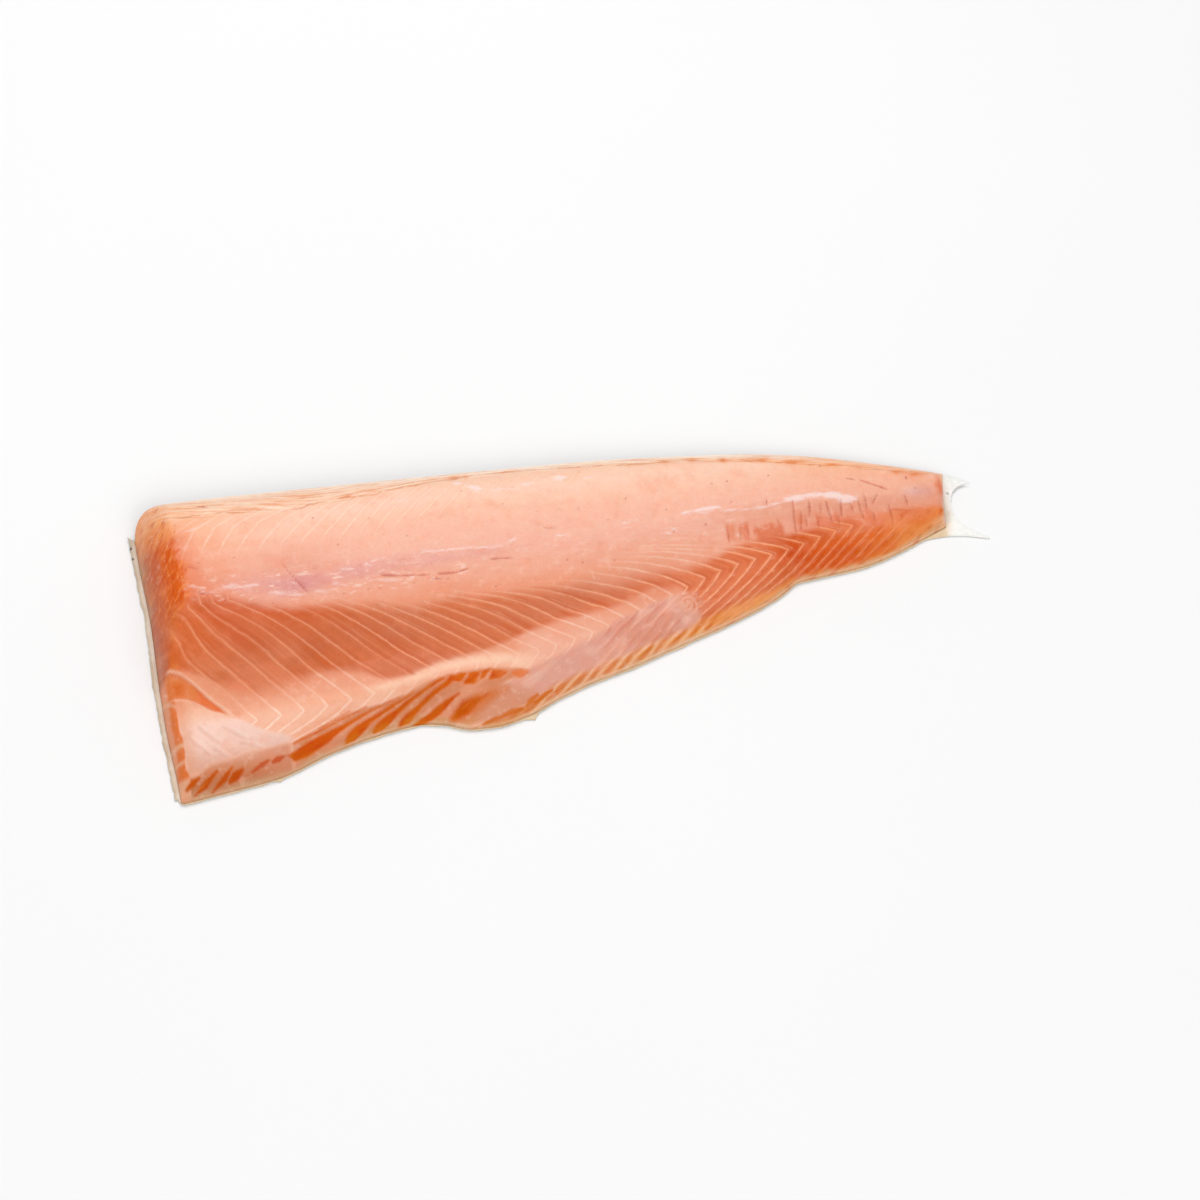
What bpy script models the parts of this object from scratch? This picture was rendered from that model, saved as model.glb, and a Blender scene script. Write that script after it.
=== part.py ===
"""Raw salmon fillet lying skin side down: the flesh, and the skin that runs under it.

Metres, +Z up. +X points to the tail, -X to the cut head end, +Y to the fish's back and -Y to its belly.
The origin is at the centre of the bounding box's foot, so the fillet rests on Z = 0.

Every guide below is a named size that changes along the fish. All guides are in millimetres and share one
X scale, and MM turns the finished points into metres.
"""

import bmesh
import bpy
import numpy as np

MM = 0.001

# ---------------------------------------------------------------- sizes, in millimetres
HEAD_X = -235.0  # foot of the head cut, on the flesh
TAIL_X = 218.5  # end of the flesh, at the middle of the tail
TAIL_SLANT = 7.0  # how much further the tail reaches at the back than at the belly
CENTRE_Y = 1.02  # the guides' zero line is this far from the middle of the box
CORNER_R = 16.0  # plan radius of the corner where the head cut meets the back
BELLY_CORNER_R = 4.0  # the same at the belly

SKIN_T = 0.9  # skin
GAP = 0.3  # clearance between skin and flesh, which are separate solids
SKIN_HEAD = 3.4  # skin showing past the foot of the head cut
SKIN_BELLY = 0.9  # skin showing past the belly cut
SKIN_TAIL = 4.0  # skin showing past the end of the flesh
LOW_POINT, HIGH_POINT = 19.4, 11.0  # the two drawn-out points at the skin's tail corners
CURL_W, CURL_H = 21.0, 8.0  # the skin turns up round the back over this width, to this height

LONG, ACROSS, TAIL_ROWS = 62, 36, 4  # faces along and across the flesh, and along the skin's tail strip


def curve(x, *stations):
    """A smooth line through (x, value) stations, with no overshoot between them."""
    px, py = np.array(stations, float).T
    h, d = np.diff(px), np.diff(py) / np.diff(px)
    m = np.zeros(len(px))
    same = d[:-1] * d[1:] > 0
    w1, w2 = 2 * h[1:] + h[:-1], h[1:] + 2 * h[:-1]
    with np.errstate(divide="ignore", invalid="ignore"):
        m[1:-1] = np.where(same, (w1 + w2) / (w1 / d[:-1] + w2 / d[1:]), 0.0)
    m[0], m[-1] = d[0], d[-1]
    x = np.clip(np.asarray(x, float), px[0], px[-1])
    k = np.clip(np.searchsorted(px, x, side="right") - 1, 0, len(h) - 1)
    t = (x - px[k]) / h[k]
    return (
        (1 + 2 * t) * (1 - t) ** 2 * py[k]
        + t * (1 - t) ** 2 * h[k] * m[k]
        + t * t * (3 - 2 * t) * py[k + 1]
        + t * t * (t - 1) * h[k] * m[k + 1]
    )


def step(x, low, high):
    """0 below low, 1 above high, smooth between."""
    t = np.clip((np.asarray(x, float) - low) / (high - low), 0.0, 1.0)
    return t * t * (3 - 2 * t)


def bump(x, centre, width):
    return np.exp(-(((np.asarray(x, float) - centre) / width) ** 2))


# ---------------------------------------------------------------- plan: the two long edges
def belly_y(x):
    """The belly edge, with the hollow where the flap was trimmed and the notch behind the fin."""
    y = curve(
        x,
        (-238, -88.0), (-211, -85.0), (-182, -81.3), (-150, -70.8), (-120, -64.2),
        (-102, -62.4), (-90, -64.6), (-76, -69.6), (-62, -70.4), (-44, -66.8),
        (-26, -59.6), (-8, -53.6), (14, -48.2), (46, -38.8), (83, -27.6), (102, -20.4),
        (112, -15.4), (122, -9.8), (140, -8.1), (160, -6.1), (178, -1.9), (198, 5.6), (224, 15.4),
    )  # fmt: skip
    d = np.clip((HEAD_X + BELLY_CORNER_R - x) / BELLY_CORNER_R, 0.0, 1.0)
    return y + BELLY_CORNER_R * (1 - np.sqrt(1 - d * d))


def back_y(x):
    y = curve(
        x,
        (-240, 90.4), (-200, 90.0), (-140, 87.6), (-70, 85.0), (-20, 83.2), (20, 81.8),
        (60, 78.8), (110, 74.0), (140, 68.9), (165, 62.8), (192, 54.8), (226, 43.2),
    )  # fmt: skip
    d = np.clip((HEAD_X + CORNER_R - x) / CORNER_R, 0.0, 1.0)
    return y - CORNER_R * (1 - np.sqrt(1 - d * d))


def skin_belly_y(x):
    """The skin follows the belly cut, then runs straight on into its lower tail point."""
    y = belly_y(x) - SKIN_BELLY
    low = curve(x, (180, -2.0), (202, 5.6), (212, 6.2), (224, 4.8), (239, 0.6))
    return np.where(x > 192, y + (low - y) * step(x, 192, 208), y)


def skin_back_y(x):
    y = back_y(x)
    high = curve(x, (200, 51.5), (222, 44.6), (230, 41.4), (240, 36.4))
    return np.where(x > 205, y + (high - y) * step(x, 205, 222), y)


# ---------------------------------------------------------------- section: heights across the fish
def loin_z(x):
    """Height of the loin, the thick flat top between the middle line and the back."""
    return curve(x, (-240, 26.5), (-190, 28.5), (-110, 29.5), (-30, 27.5), (50, 23.0), (120, 17.5), (175, 12.5), (222, 9.5))


def middle_y(x):
    """The middle line, where the backbone lay."""
    return curve(x, (-240, 20.0), (-100, 23.0), (0, 27.0), (90, 33.0), (160, 33.5), (222, 31.0))


def section(x, y):
    """Height of the flesh's top over its foot at (x, y), before the two ends are cut."""
    yb, yd, h = belly_y(x), back_y(x), loin_z(x)
    face_z = curve(x, (-240, 8.5), (-185, 8.0), (-150, 7.0), (-120, 6.5), (-60, 5.0), (60, 5.5), (120, 7.0), (180, 5.5), (222, 5.0))
    face_w = curve(x, (-240, 9.5), (-185, 9.0), (-150, 8.5), (-105, 8.0), (-60, 6.0), (60, 5.0), (120, 5.5), (222, 3.0))
    crest_w = curve(x, (-240, 34.0), (-185, 31.0), (-150, 26.0), (-105, 21.0), (-60, 25.0), (-10, 22.0), (60, 13.0), (120, 12.0), (222, 8.0))
    crest_z = curve(x, (-240, 11.0), (-185, 11.5), (-150, 13.0), (-90, 15.0), (-40, 12.5), (20, 10.5), (90, 11.5), (150, 11.0), (222, 7.5))
    dip_w = curve(x, (-240, 50.0), (-185, 48.0), (-130, 38.0), (-90, 36.0), (-40, 40.0), (20, 36.0), (90, 22.0), (150, 19.0), (222, 12.0))
    dip_z = curve(x, (-240, 12.0), (-185, 12.5), (-130, 13.6), (-90, 14.8), (-40, 14.6), (20, 14.0), (90, 13.6), (150, 12.5), (222, 8.4))
    fall = curve(x, (-240, 12.0), (-120, 20.0), (-40, 28.0), (40, 20.0), (90, 12.0), (222, 7.0))
    ym = middle_y(x)
    knots_y = [yb, yb + face_w, yb + crest_w, yb + dip_w, ym - fall, ym, yd - 0.66 * h, yd - 0.22 * h, yd]
    knots_z = [1.7 + 0 * x, face_z, crest_z, dip_z, h - 1.6, h, h - 0.8, 0.74 * h, 0.37 * h + 1.4]
    py, pz = np.stack(knots_y, -1), np.stack(knots_z, -1)
    gap = np.diff(py, axis=-1)
    d = np.diff(pz, axis=-1) / gap
    m = np.zeros_like(py)
    w1, w2 = 2 * gap[..., 1:] + gap[..., :-1], gap[..., 1:] + 2 * gap[..., :-1]
    with np.errstate(divide="ignore", invalid="ignore"):
        m[..., 1:-1] = np.where(d[..., :-1] * d[..., 1:] > 0, (w1 + w2) / (w1 / d[..., :-1] + w2 / d[..., 1:]), 0.0)
    m[..., 0], m[..., -1] = d[..., 0], 1.25 * d[..., -1]
    y = np.clip(y, yb, yd)
    k = np.clip((y[..., None] >= py).sum(-1) - 1, 0, py.shape[-1] - 2)[..., None]

    def at(a, i):
        return np.take_along_axis(a, i, -1)[..., 0]

    t = (y - at(py, k)) / at(gap, k)
    return (
        (1 + 2 * t) * (1 - t) ** 2 * at(pz, k)
        + t * (1 - t) ** 2 * at(gap, k) * at(m, k)
        + t * t * (3 - 2 * t) * at(pz, k + 1)
        + t * t * (t - 1) * at(gap, k) * at(m, k + 1)
    )


def end_cut(distance, width, roundness):
    """Share of the full height at this distance from a cut end: a slanted face with a soft upper edge."""
    t = np.clip(distance / width, 0.0, 1.0)
    return (1 - (1 - t) ** roundness) ** (1 / roundness)


def head_x(y):
    """The foot of the head cut, which bows in a little at the flap."""
    return HEAD_X + 1.6 * step(y, -40, -80) + 1.2 * bump(y, 20, 26)


def tail_x(y, x):
    return TAIL_X + TAIL_SLANT * ((y - belly_y(x)) / (back_y(x) - belly_y(x)) - 0.5)


def foot_z(x, y):
    """Height of the skin's outer side: flat underneath, turned up round the back."""
    t = np.clip((y - back_y(np.clip(x, HEAD_X + CORNER_R, 222)) + CURL_W) / CURL_W, 0.0, 1.0)
    return CURL_H * (loin_z(x) / 29.0) * t**2.3


def tilt(x, y):
    """How much longer a vertical run is than the thickness it crosses, where the skin turns up."""
    s = (foot_z(x, y + 0.5) - foot_z(x, y - 0.5)) / 1.0
    return np.sqrt(1 + s * s)


def flesh_top(x, y):
    full = section(x, y)
    head_w = 5.5 + 13.5 * step(y, -22, 24)
    low = foot_z(x, y) + (SKIN_T + GAP + 1.3) * tilt(x, y)
    cut = end_cut(x - head_x(y), head_w, 1.45) * end_cut(tail_x(y, x) - x, 5.0, 1.8)
    fold = 2.4 * bump(y - 0.55 * (x + 222), -38, 3.2) * step(x, -236, -228) * (1 - step(x, -219, -203))
    return low + np.maximum(full + fold - low, 0.0) * cut


# ---------------------------------------------------------------- meshes
def spread(count, head, tail, reach):
    """count + 1 places from 0 to 1, closer together at the two ends."""
    t = np.linspace(0, 1, 2000)
    density = 1 + head * np.exp(-t / reach) + tail * np.exp(-(1 - t) / reach)
    run = np.concatenate([[0], np.cumsum((density[1:] + density[:-1]) / 2)])
    return np.interp(np.linspace(0, run[-1], count + 1), run, t)


def slab(name, x, y, low, high, material):
    """A closed mesh between two height fields on one grid of places, in millimetres."""
    rows, columns = x.shape
    mesh = bpy.data.meshes.new(name)
    bm = bmesh.new()
    layers = []
    for z in (low, high):
        layers.append([[bm.verts.new((x[i, j] * MM, (y[i, j] - CENTRE_Y) * MM, z[i, j] * MM)) for j in range(columns)] for i in range(rows)])
    for side, layer in enumerate(layers):
        for i in range(rows - 1):
            for j in range(columns - 1):
                for ring in (
                    [layer[i][j], layer[i + 1][j], layer[i + 1][j + 1]],
                    [layer[i][j], layer[i + 1][j + 1], layer[i][j + 1]],
                ):
                    bm.faces.new(ring if side else ring[::-1])
    rim = [(i, 0) for i in range(rows)] + [(rows - 1, j) for j in range(1, columns)]
    rim += [(i, columns - 1) for i in range(rows - 2, -1, -1)] + [(0, j) for j in range(columns - 2, 0, -1)]
    for (i, j), (k, m) in zip(rim, rim[1:] + rim[:1]):
        bm.faces.new([layers[0][i][j], layers[0][k][m], layers[1][k][m], layers[1][i][j]])
    bm.to_mesh(mesh)
    bm.free()
    mesh.shade_smooth()
    mesh.set_sharp_from_angle(angle=0.9)
    mesh.materials.append(material)
    made = bpy.data.objects.new(name, mesh)
    bpy.context.scene.collection.objects.link(made)
    return made


def finish(name, colour, roughness, coat):
    material = bpy.data.materials.new(name)
    material.use_nodes = True
    shader = material.node_tree.nodes["Principled BSDF"]
    shader.inputs["Base Color"].default_value = (*colour, 1.0)
    shader.inputs["Roughness"].default_value = roughness
    shader.inputs["Metallic"].default_value = 0.0
    shader.inputs["Coat Weight"].default_value = coat
    return material


def flesh_places(long, across):
    u = spread(long, 4.0, 3.0, 0.035)[:, None]
    v = spread(across, 2.2, 2.2, 0.05)[None, :]
    guess = HEAD_X + u * (TAIL_X - HEAD_X) + 0 * v
    y = belly_y(guess) + v * (back_y(guess) - belly_y(guess))
    x = head_x(y) * (1 - u) + (TAIL_X + TAIL_SLANT * (v - 0.5)) * u
    return x, belly_y(x) + v * (back_y(x) - belly_y(x))


def skin_places(long, across):
    """The flesh's own places, with the skin's free strips added at the head, the belly and the tail."""
    x, y = flesh_places(long, across)
    x, y = np.vstack([x[:1] - SKIN_HEAD, x]), np.vstack([y[:1], y])
    v = (y[-1] - y[-1, 0]) / (y[-1, -1] - y[-1, 0])
    reach = SKIN_TAIL + LOW_POINT * (1 - v) ** 6.5 + HIGH_POINT * v**6.5
    end = x[-1]
    for share in np.linspace(0, 1, TAIL_ROWS + 1)[1:]:
        row = end + reach * share
        low = skin_belly_y(row) + SKIN_BELLY
        x, y = np.vstack([x, row]), np.vstack([y, low + v * (skin_back_y(row) - low)])
    return np.hstack([x[:, :1], x]), np.hstack([skin_belly_y(x[:, :1]), y])


def build():
    for old in list(bpy.data.objects):
        bpy.data.objects.remove(old, do_unlink=True)

    flesh = finish("salmon_flesh", (0.80, 0.31, 0.15), 0.34, 0.3)
    hide = finish("salmon_skin", (0.34, 0.36, 0.35), 0.30, 0.4)

    x, y = flesh_places(LONG, ACROSS)
    low = foot_z(x, y) + (SKIN_T + GAP) * tilt(x, y)
    slab("flesh", x, y, low, np.maximum(flesh_top(x, y), low + 1.0), flesh)

    x, y = skin_places(LONG, ACROSS)
    low = foot_z(x, y)
    thin = SKIN_T * (1 - 0.5 * step(x, TAIL_X + SKIN_TAIL, TAIL_X + SKIN_TAIL + LOW_POINT))
    slab("skin", x, y, low, low + thin * tilt(x, y), hide)


build()
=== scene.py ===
import bpy
import numpy as np
from mathutils import Matrix, Vector


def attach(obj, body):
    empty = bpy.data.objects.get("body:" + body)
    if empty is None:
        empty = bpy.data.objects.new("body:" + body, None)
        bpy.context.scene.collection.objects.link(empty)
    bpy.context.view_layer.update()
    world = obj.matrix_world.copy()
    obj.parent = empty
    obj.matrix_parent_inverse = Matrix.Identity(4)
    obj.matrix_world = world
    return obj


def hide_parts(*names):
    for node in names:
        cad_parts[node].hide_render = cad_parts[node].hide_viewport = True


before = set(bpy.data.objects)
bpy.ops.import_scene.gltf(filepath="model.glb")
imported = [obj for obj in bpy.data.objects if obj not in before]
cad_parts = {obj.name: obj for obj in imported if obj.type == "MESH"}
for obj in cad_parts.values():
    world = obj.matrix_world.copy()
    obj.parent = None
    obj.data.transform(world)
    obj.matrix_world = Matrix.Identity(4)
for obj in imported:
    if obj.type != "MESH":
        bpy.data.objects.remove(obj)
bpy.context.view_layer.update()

MM = 0.001

# ================================================================ sizes, in millimetres, the same as the solids'
HEAD_X = -235.0
TAIL_X = 218.5
TAIL_SLANT = 7.0
CENTRE_Y = 1.02
CORNER_R = 16.0
BELLY_CORNER_R = 4.0

SKIN_T = 0.9
GAP = 0.3
SKIN_HEAD = 3.4
SKIN_BELLY = 0.9
SKIN_TAIL = 4.0
LOW_POINT, HIGH_POINT = 19.4, 11.0
CURL_W, CURL_H = 21.0, 8.0

LONG, ACROSS = 440, 200  # faces along and across the flesh
SKIN_LONG, SKIN_ACROSS, SKIN_TAIL_ROWS = 300, 96, 26


def curve(x, *stations):
    """A smooth line through (x, value) stations, with no overshoot between them."""
    px, py = np.array(stations, float).T
    h, d = np.diff(px), np.diff(py) / np.diff(px)
    m = np.zeros(len(px))
    same = d[:-1] * d[1:] > 0
    w1, w2 = 2 * h[1:] + h[:-1], h[1:] + 2 * h[:-1]
    with np.errstate(divide="ignore", invalid="ignore"):
        m[1:-1] = np.where(same, (w1 + w2) / (w1 / d[:-1] + w2 / d[1:]), 0.0)
    m[0], m[-1] = d[0], d[-1]
    x = np.clip(np.asarray(x, float), px[0], px[-1])
    k = np.clip(np.searchsorted(px, x, side="right") - 1, 0, len(h) - 1)
    t = (x - px[k]) / h[k]
    return (
        (1 + 2 * t) * (1 - t) ** 2 * py[k]
        + t * (1 - t) ** 2 * h[k] * m[k]
        + t * t * (3 - 2 * t) * py[k + 1]
        + t * t * (t - 1) * h[k] * m[k + 1]
    )


def step(x, low, high):
    """0 below low, 1 above high, smooth between."""
    t = np.clip((np.asarray(x, float) - low) / (high - low), 0.0, 1.0)
    return t * t * (3 - 2 * t)


def bump(x, centre, width):
    return np.exp(-(((np.asarray(x, float) - centre) / width) ** 2))


def band(x, low, high, soft):
    """1 between low and high, fading over soft at both sides."""
    return step(x, low - soft / 2, low + soft / 2) * (1 - step(x, high - soft / 2, high + soft / 2))


def noise(x, y, seed=0):
    """Smooth value noise from -1 to 1 on a unit lattice."""
    x, y = np.broadcast_arrays(np.asarray(x, float), np.asarray(y, float))
    i, j = np.floor(x), np.floor(y)
    u, v = x - i, y - j
    u, v = u * u * u * (u * (6 * u - 15) + 10), v * v * v * (v * (6 * v - 15) + 10)

    def at(a, b):
        n = (a.astype(np.int64) * 374761393 + b.astype(np.int64) * 668265263 + seed * 1442695041) & 0xFFFFFFFF
        n = ((n ^ (n >> 13)) * 1274126177) & 0xFFFFFFFF
        return ((n ^ (n >> 16)) & 0xFFFF) / 32767.5 - 1

    return (at(i, j) * (1 - u) + at(i + 1, j) * u) * (1 - v) + (at(i, j + 1) * (1 - u) + at(i + 1, j + 1) * u) * v


def cloud(x, y, seed=0):
    return (noise(x, y, seed) + 0.5 * noise(2.03 * x, 2.03 * y, seed + 1) + 0.25 * noise(4.1 * x, 4.1 * y, seed + 2)) / 1.4


# ================================================================ plan
def belly_y(x):
    y = curve(
        x,
        (-238, -88.0), (-211, -85.0), (-182, -81.3), (-150, -70.8), (-120, -64.2),
        (-102, -62.4), (-90, -64.6), (-76, -69.6), (-62, -70.4), (-44, -66.8),
        (-26, -59.6), (-8, -53.6), (14, -48.2), (46, -38.8), (83, -27.6), (102, -20.4),
        (112, -15.4), (122, -9.8), (140, -8.1), (160, -6.1), (178, -1.9), (198, 5.6), (224, 15.4),
    )  # fmt: skip
    d = np.clip((HEAD_X + BELLY_CORNER_R - x) / BELLY_CORNER_R, 0.0, 1.0)
    return y + BELLY_CORNER_R * (1 - np.sqrt(1 - d * d))


def back_y(x):
    y = curve(
        x,
        (-240, 90.4), (-200, 90.0), (-140, 87.6), (-70, 85.0), (-20, 83.2), (20, 81.8),
        (60, 78.8), (110, 74.0), (140, 68.9), (165, 62.8), (192, 54.8), (226, 43.2),
    )  # fmt: skip
    d = np.clip((HEAD_X + CORNER_R - x) / CORNER_R, 0.0, 1.0)
    return y - CORNER_R * (1 - np.sqrt(1 - d * d))


def skin_belly_y(x):
    y = belly_y(x) - SKIN_BELLY
    low = curve(x, (180, -2.0), (202, 5.6), (212, 6.2), (224, 4.8), (239, 0.6))
    return np.where(x > 192, y + (low - y) * step(x, 192, 208), y)


def skin_back_y(x):
    y = back_y(x)
    high = curve(x, (200, 51.5), (222, 44.6), (230, 41.4), (240, 36.4))
    return np.where(x > 205, y + (high - y) * step(x, 205, 222), y)


# ================================================================ heights
def loin_z(x):
    return curve(x, (-240, 26.5), (-190, 28.5), (-110, 29.5), (-30, 27.5), (50, 23.0), (120, 17.5), (175, 12.5), (222, 9.5))


def middle_y(x):
    return curve(x, (-240, 20.0), (-100, 23.0), (0, 27.0), (90, 33.0), (160, 33.5), (222, 31.0))


def section(x, y):
    yb, yd, h = belly_y(x), back_y(x), loin_z(x)
    face_z = curve(x, (-240, 8.5), (-185, 8.0), (-150, 7.0), (-120, 6.5), (-60, 5.0), (60, 5.5), (120, 7.0), (180, 5.5), (222, 5.0))
    face_w = curve(x, (-240, 9.5), (-185, 9.0), (-150, 8.5), (-105, 8.0), (-60, 6.0), (60, 5.0), (120, 5.5), (222, 3.0))
    crest_w = curve(x, (-240, 34.0), (-185, 31.0), (-150, 26.0), (-105, 21.0), (-60, 25.0), (-10, 22.0), (60, 13.0), (120, 12.0), (222, 8.0))
    crest_z = curve(x, (-240, 11.0), (-185, 11.5), (-150, 13.0), (-90, 15.0), (-40, 12.5), (20, 10.5), (90, 11.5), (150, 11.0), (222, 7.5))
    dip_w = curve(x, (-240, 50.0), (-185, 48.0), (-130, 38.0), (-90, 36.0), (-40, 40.0), (20, 36.0), (90, 22.0), (150, 19.0), (222, 12.0))
    dip_z = curve(x, (-240, 12.0), (-185, 12.5), (-130, 13.6), (-90, 14.8), (-40, 14.6), (20, 14.0), (90, 13.6), (150, 12.5), (222, 8.4))
    fall = curve(x, (-240, 12.0), (-120, 20.0), (-40, 28.0), (40, 20.0), (90, 12.0), (222, 7.0))
    ym = middle_y(x)
    knots_y = [yb, yb + face_w, yb + crest_w, yb + dip_w, ym - fall, ym, yd - 0.66 * h, yd - 0.22 * h, yd]
    knots_z = [1.7 + 0 * x, face_z, crest_z, dip_z, h - 1.6, h, h - 0.8, 0.74 * h, 0.37 * h + 1.4]
    py, pz = np.stack(knots_y, -1), np.stack(knots_z, -1)
    gap = np.diff(py, axis=-1)
    d = np.diff(pz, axis=-1) / gap
    m = np.zeros_like(py)
    w1, w2 = 2 * gap[..., 1:] + gap[..., :-1], gap[..., 1:] + 2 * gap[..., :-1]
    with np.errstate(divide="ignore", invalid="ignore"):
        m[..., 1:-1] = np.where(d[..., :-1] * d[..., 1:] > 0, (w1 + w2) / (w1 / d[..., :-1] + w2 / d[..., 1:]), 0.0)
    m[..., 0], m[..., -1] = d[..., 0], 1.25 * d[..., -1]
    y = np.clip(y, yb, yd)
    k = np.clip((y[..., None] >= py).sum(-1) - 1, 0, py.shape[-1] - 2)[..., None]

    def at(a, i):
        return np.take_along_axis(a, i, -1)[..., 0]

    t = (y - at(py, k)) / at(gap, k)
    return (
        (1 + 2 * t) * (1 - t) ** 2 * at(pz, k)
        + t * (1 - t) ** 2 * at(gap, k) * at(m, k)
        + t * t * (3 - 2 * t) * at(pz, k + 1)
        + t * t * (t - 1) * at(gap, k) * at(m, k + 1)
    )


def end_cut(distance, width, roundness):
    t = np.clip(distance / width, 0.0, 1.0)
    return (1 - (1 - t) ** roundness) ** (1 / roundness)


def head_x(y):
    return HEAD_X + 1.6 * step(y, -40, -80) + 1.2 * bump(y, 20, 26)


def tail_x(y, x):
    return TAIL_X + TAIL_SLANT * ((y - belly_y(x)) / (back_y(x) - belly_y(x)) - 0.5)


def foot_z(x, y):
    t = np.clip((y - back_y(np.clip(x, HEAD_X + CORNER_R, 222)) + CURL_W) / CURL_W, 0.0, 1.0)
    return CURL_H * (loin_z(x) / 29.0) * t**2.3


def tilt(x, y):
    s = (foot_z(x, y + 0.5) - foot_z(x, y - 0.5)) / 1.0
    return np.sqrt(1 + s * s)


def flesh_top(x, y):
    full = section(x, y)
    head_w = 5.5 + 13.5 * step(y, -22, 24)
    low = foot_z(x, y) + (SKIN_T + GAP + 1.3) * tilt(x, y)
    cut = end_cut(x - head_x(y), head_w, 1.45) * end_cut(tail_x(y, x) - x, 5.0, 1.8)
    return low + np.maximum(full - low, 0.0) * cut


# ================================================================ muscle lines
def tip_y(x):
    """Where the muscle lines turn back, forming the row of V tips that point to the tail."""
    return curve(x, (-420, -53.124), (-189, -50.667), (-150, -48.53), (-112, -44.406), (-90, -40.04), (-70, -37.652), (-35, -34.986), (-23, -32.42), (0, -27.512), (28, -18.967), (48, -12.243), (67, -5.713), (87, -0.432), (110, 3.596), (138, 10.608), (158, 15.357), (190, 20.355), (420, 40.184))


def line_number(x):
    """Counts the muscle lines along the row of tips, one whole number a line."""
    where = [-420, -240, -189, -139, -90, -35, 0, 30, 57.5, 100, 158, 222, 420]
    return np.interp(x, where, [-18.02, -4.02, -0.06, 3.84, 7.89, 12.79, 16.12, 19.24, 22.10, 26.21, 31.96, 39.04, 62.00])


def septa(x, y):
    """The muscle lines: whole numbers fall on a line. A line runs from the back down to the middle, forward to
    its V tip, and away again to the belly edge."""
    fold = middle_y(x) - 6
    over = np.maximum(y - fold, 0.0)
    high = np.maximum(y - 36, 0.0)
    lean = -7.5 * np.sin(np.clip(over / 34, 0, 1) * np.pi * 0.5)
    lean = lean + curve(x, (-210, 0.5), (-165, 0.72), (-132, 1.05), (0, 1.0)) * np.where(high < 10, high * high / 20, high - 5) + curve(x, (-210, 1.15), (-150, 1.1), (-110, 0.7), (-70, 0.3), (-40, 0.0)) * np.maximum(y - 60.5, 0)
    loin = (x - lean) / 10.4 + 0.3 * noise(x / 31, y / 90, 81)
    thick = y > 31
    x = x - 0.75 * np.maximum(np.minimum(y, 7) + 14, 0) * (1 - step(x, -224, -198))
    y = np.minimum(y, fold)
    lift = y - tip_y(x)
    up = lift > 0
    low, high = np.zeros_like(x), np.full_like(x, 190.0)
    for _ in range(26):
        u = (low + high) / 2
        xt = x + u
        k = np.exp(curve(xt, (-420, 0.296), (-220, 0.169), (-160, 0.176), (-110, -0.09), (-60, -0.416), (-35, -0.5), (-23, -0.634), (-1, -0.743), (10, -0.487), (37, 0.107), (48, -0.148), (70, -0.596), (100, -0.733), (130, -1.115), (420, -1.253)))
        a = np.exp(curve(xt, (-420, 4.494), (-220, 4.31), (-160, 4.31), (-110, 4.177), (-60, 3.902), (-35, 3.753), (-23, 3.28), (-1, 3.053), (10, 2.406), (37, 2.16), (48, 2.175), (70, 2.257), (100, 2.085), (130, 1.594), (420, 1.425)))
        m = curve(xt, (-420, 0.306), (-220, 0.252), (-160, 0.268), (-110, 0.248), (-60, 0.182), (-35, 0.145), (-23, 0.192), (-1, 0.166), (10, 0.197), (37, 0.131), (48, 0.128), (70, 0.073), (100, 0.048), (130, 0.136), (420, 0.087))
        rise = a * (1 - np.exp(-k * u / a)) + m * u
        c1 = curve(xt, (-420, 1.119), (-130, 1.181), (-60, 0.444), (-10, 0.498), (40, 0.733), (70, 0.86), (130, 0.928), (420, 1.075))
        c2 = np.exp(curve(xt, (-420, -3.302), (-130, -3.111), (-60, -2.926), (-10, -3.019), (40, -3.609), (70, -3.983), (130, -4.109), (420, -3.937)))
        drop = (-c1 + np.sqrt(c1 * c1 + 4 * c2 * u)) / (2 * c2)
        far = np.where(up, tip_y(xt) + rise > y, tip_y(xt) - drop < y)
        low, high = np.where(far, low, u), np.where(far, u, high)
    u = (low + high) / 2
    return np.where(thick, loin, line_number(x + u)), u


# ================================================================ tones
SHEEN = 0.014  # share of white light that the wet surface adds to every colour


def tone(red, green, blue):
    """The body colour that shows as this colour in the studio light."""
    c = np.array([red, green, blue], float) / 255
    c = np.where(c <= 0.04045, c / 12.92, ((c + 0.055) / 1.055) ** 2.4)
    return np.maximum((c - SHEEN) / (1 - SHEEN), 0.0015)


def ramp(t, *stations):
    """A colour that changes along t, through (t, red, green, blue) stations."""
    t = np.asarray(t, float)
    where = [s[0] for s in stations]
    colours = np.array([tone(*s[1:]) for s in stations])
    return np.stack([np.interp(t, where, colours[:, i]) for i in range(3)], -1)


def mix(base, colour, amount):
    amount = np.clip(amount, 0, 1)[..., None]
    return base * (1 - amount) + colour * amount


def capsule(x, y, x0, y0, x1, y1):
    """Distance to a stroke, and how far along it the nearest place is."""
    dx, dy = x1 - x0, y1 - y0
    t = np.clip(((x - x0) * dx + (y - y0) * dy) / (dx * dx + dy * dy), 0, 1)
    return np.hypot(x - x0 - t * dx, y - y0 - t * dy), t


def strokes(x, y, items):
    """Signed distance to the nearest of many tapered strokes, each (x0, y0, x1, y1, half width)."""
    best = np.full(x.shape, 9.0)
    for x0, y0, x1, y1, half in items:
        d, t = capsule(x, y, x0, y0, x1, y1)
        best = np.minimum(best, d - half * (0.35 + 0.65 * np.sin(np.pi * np.clip(t * 0.9 + 0.05, 0, 1))))
    return best


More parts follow.
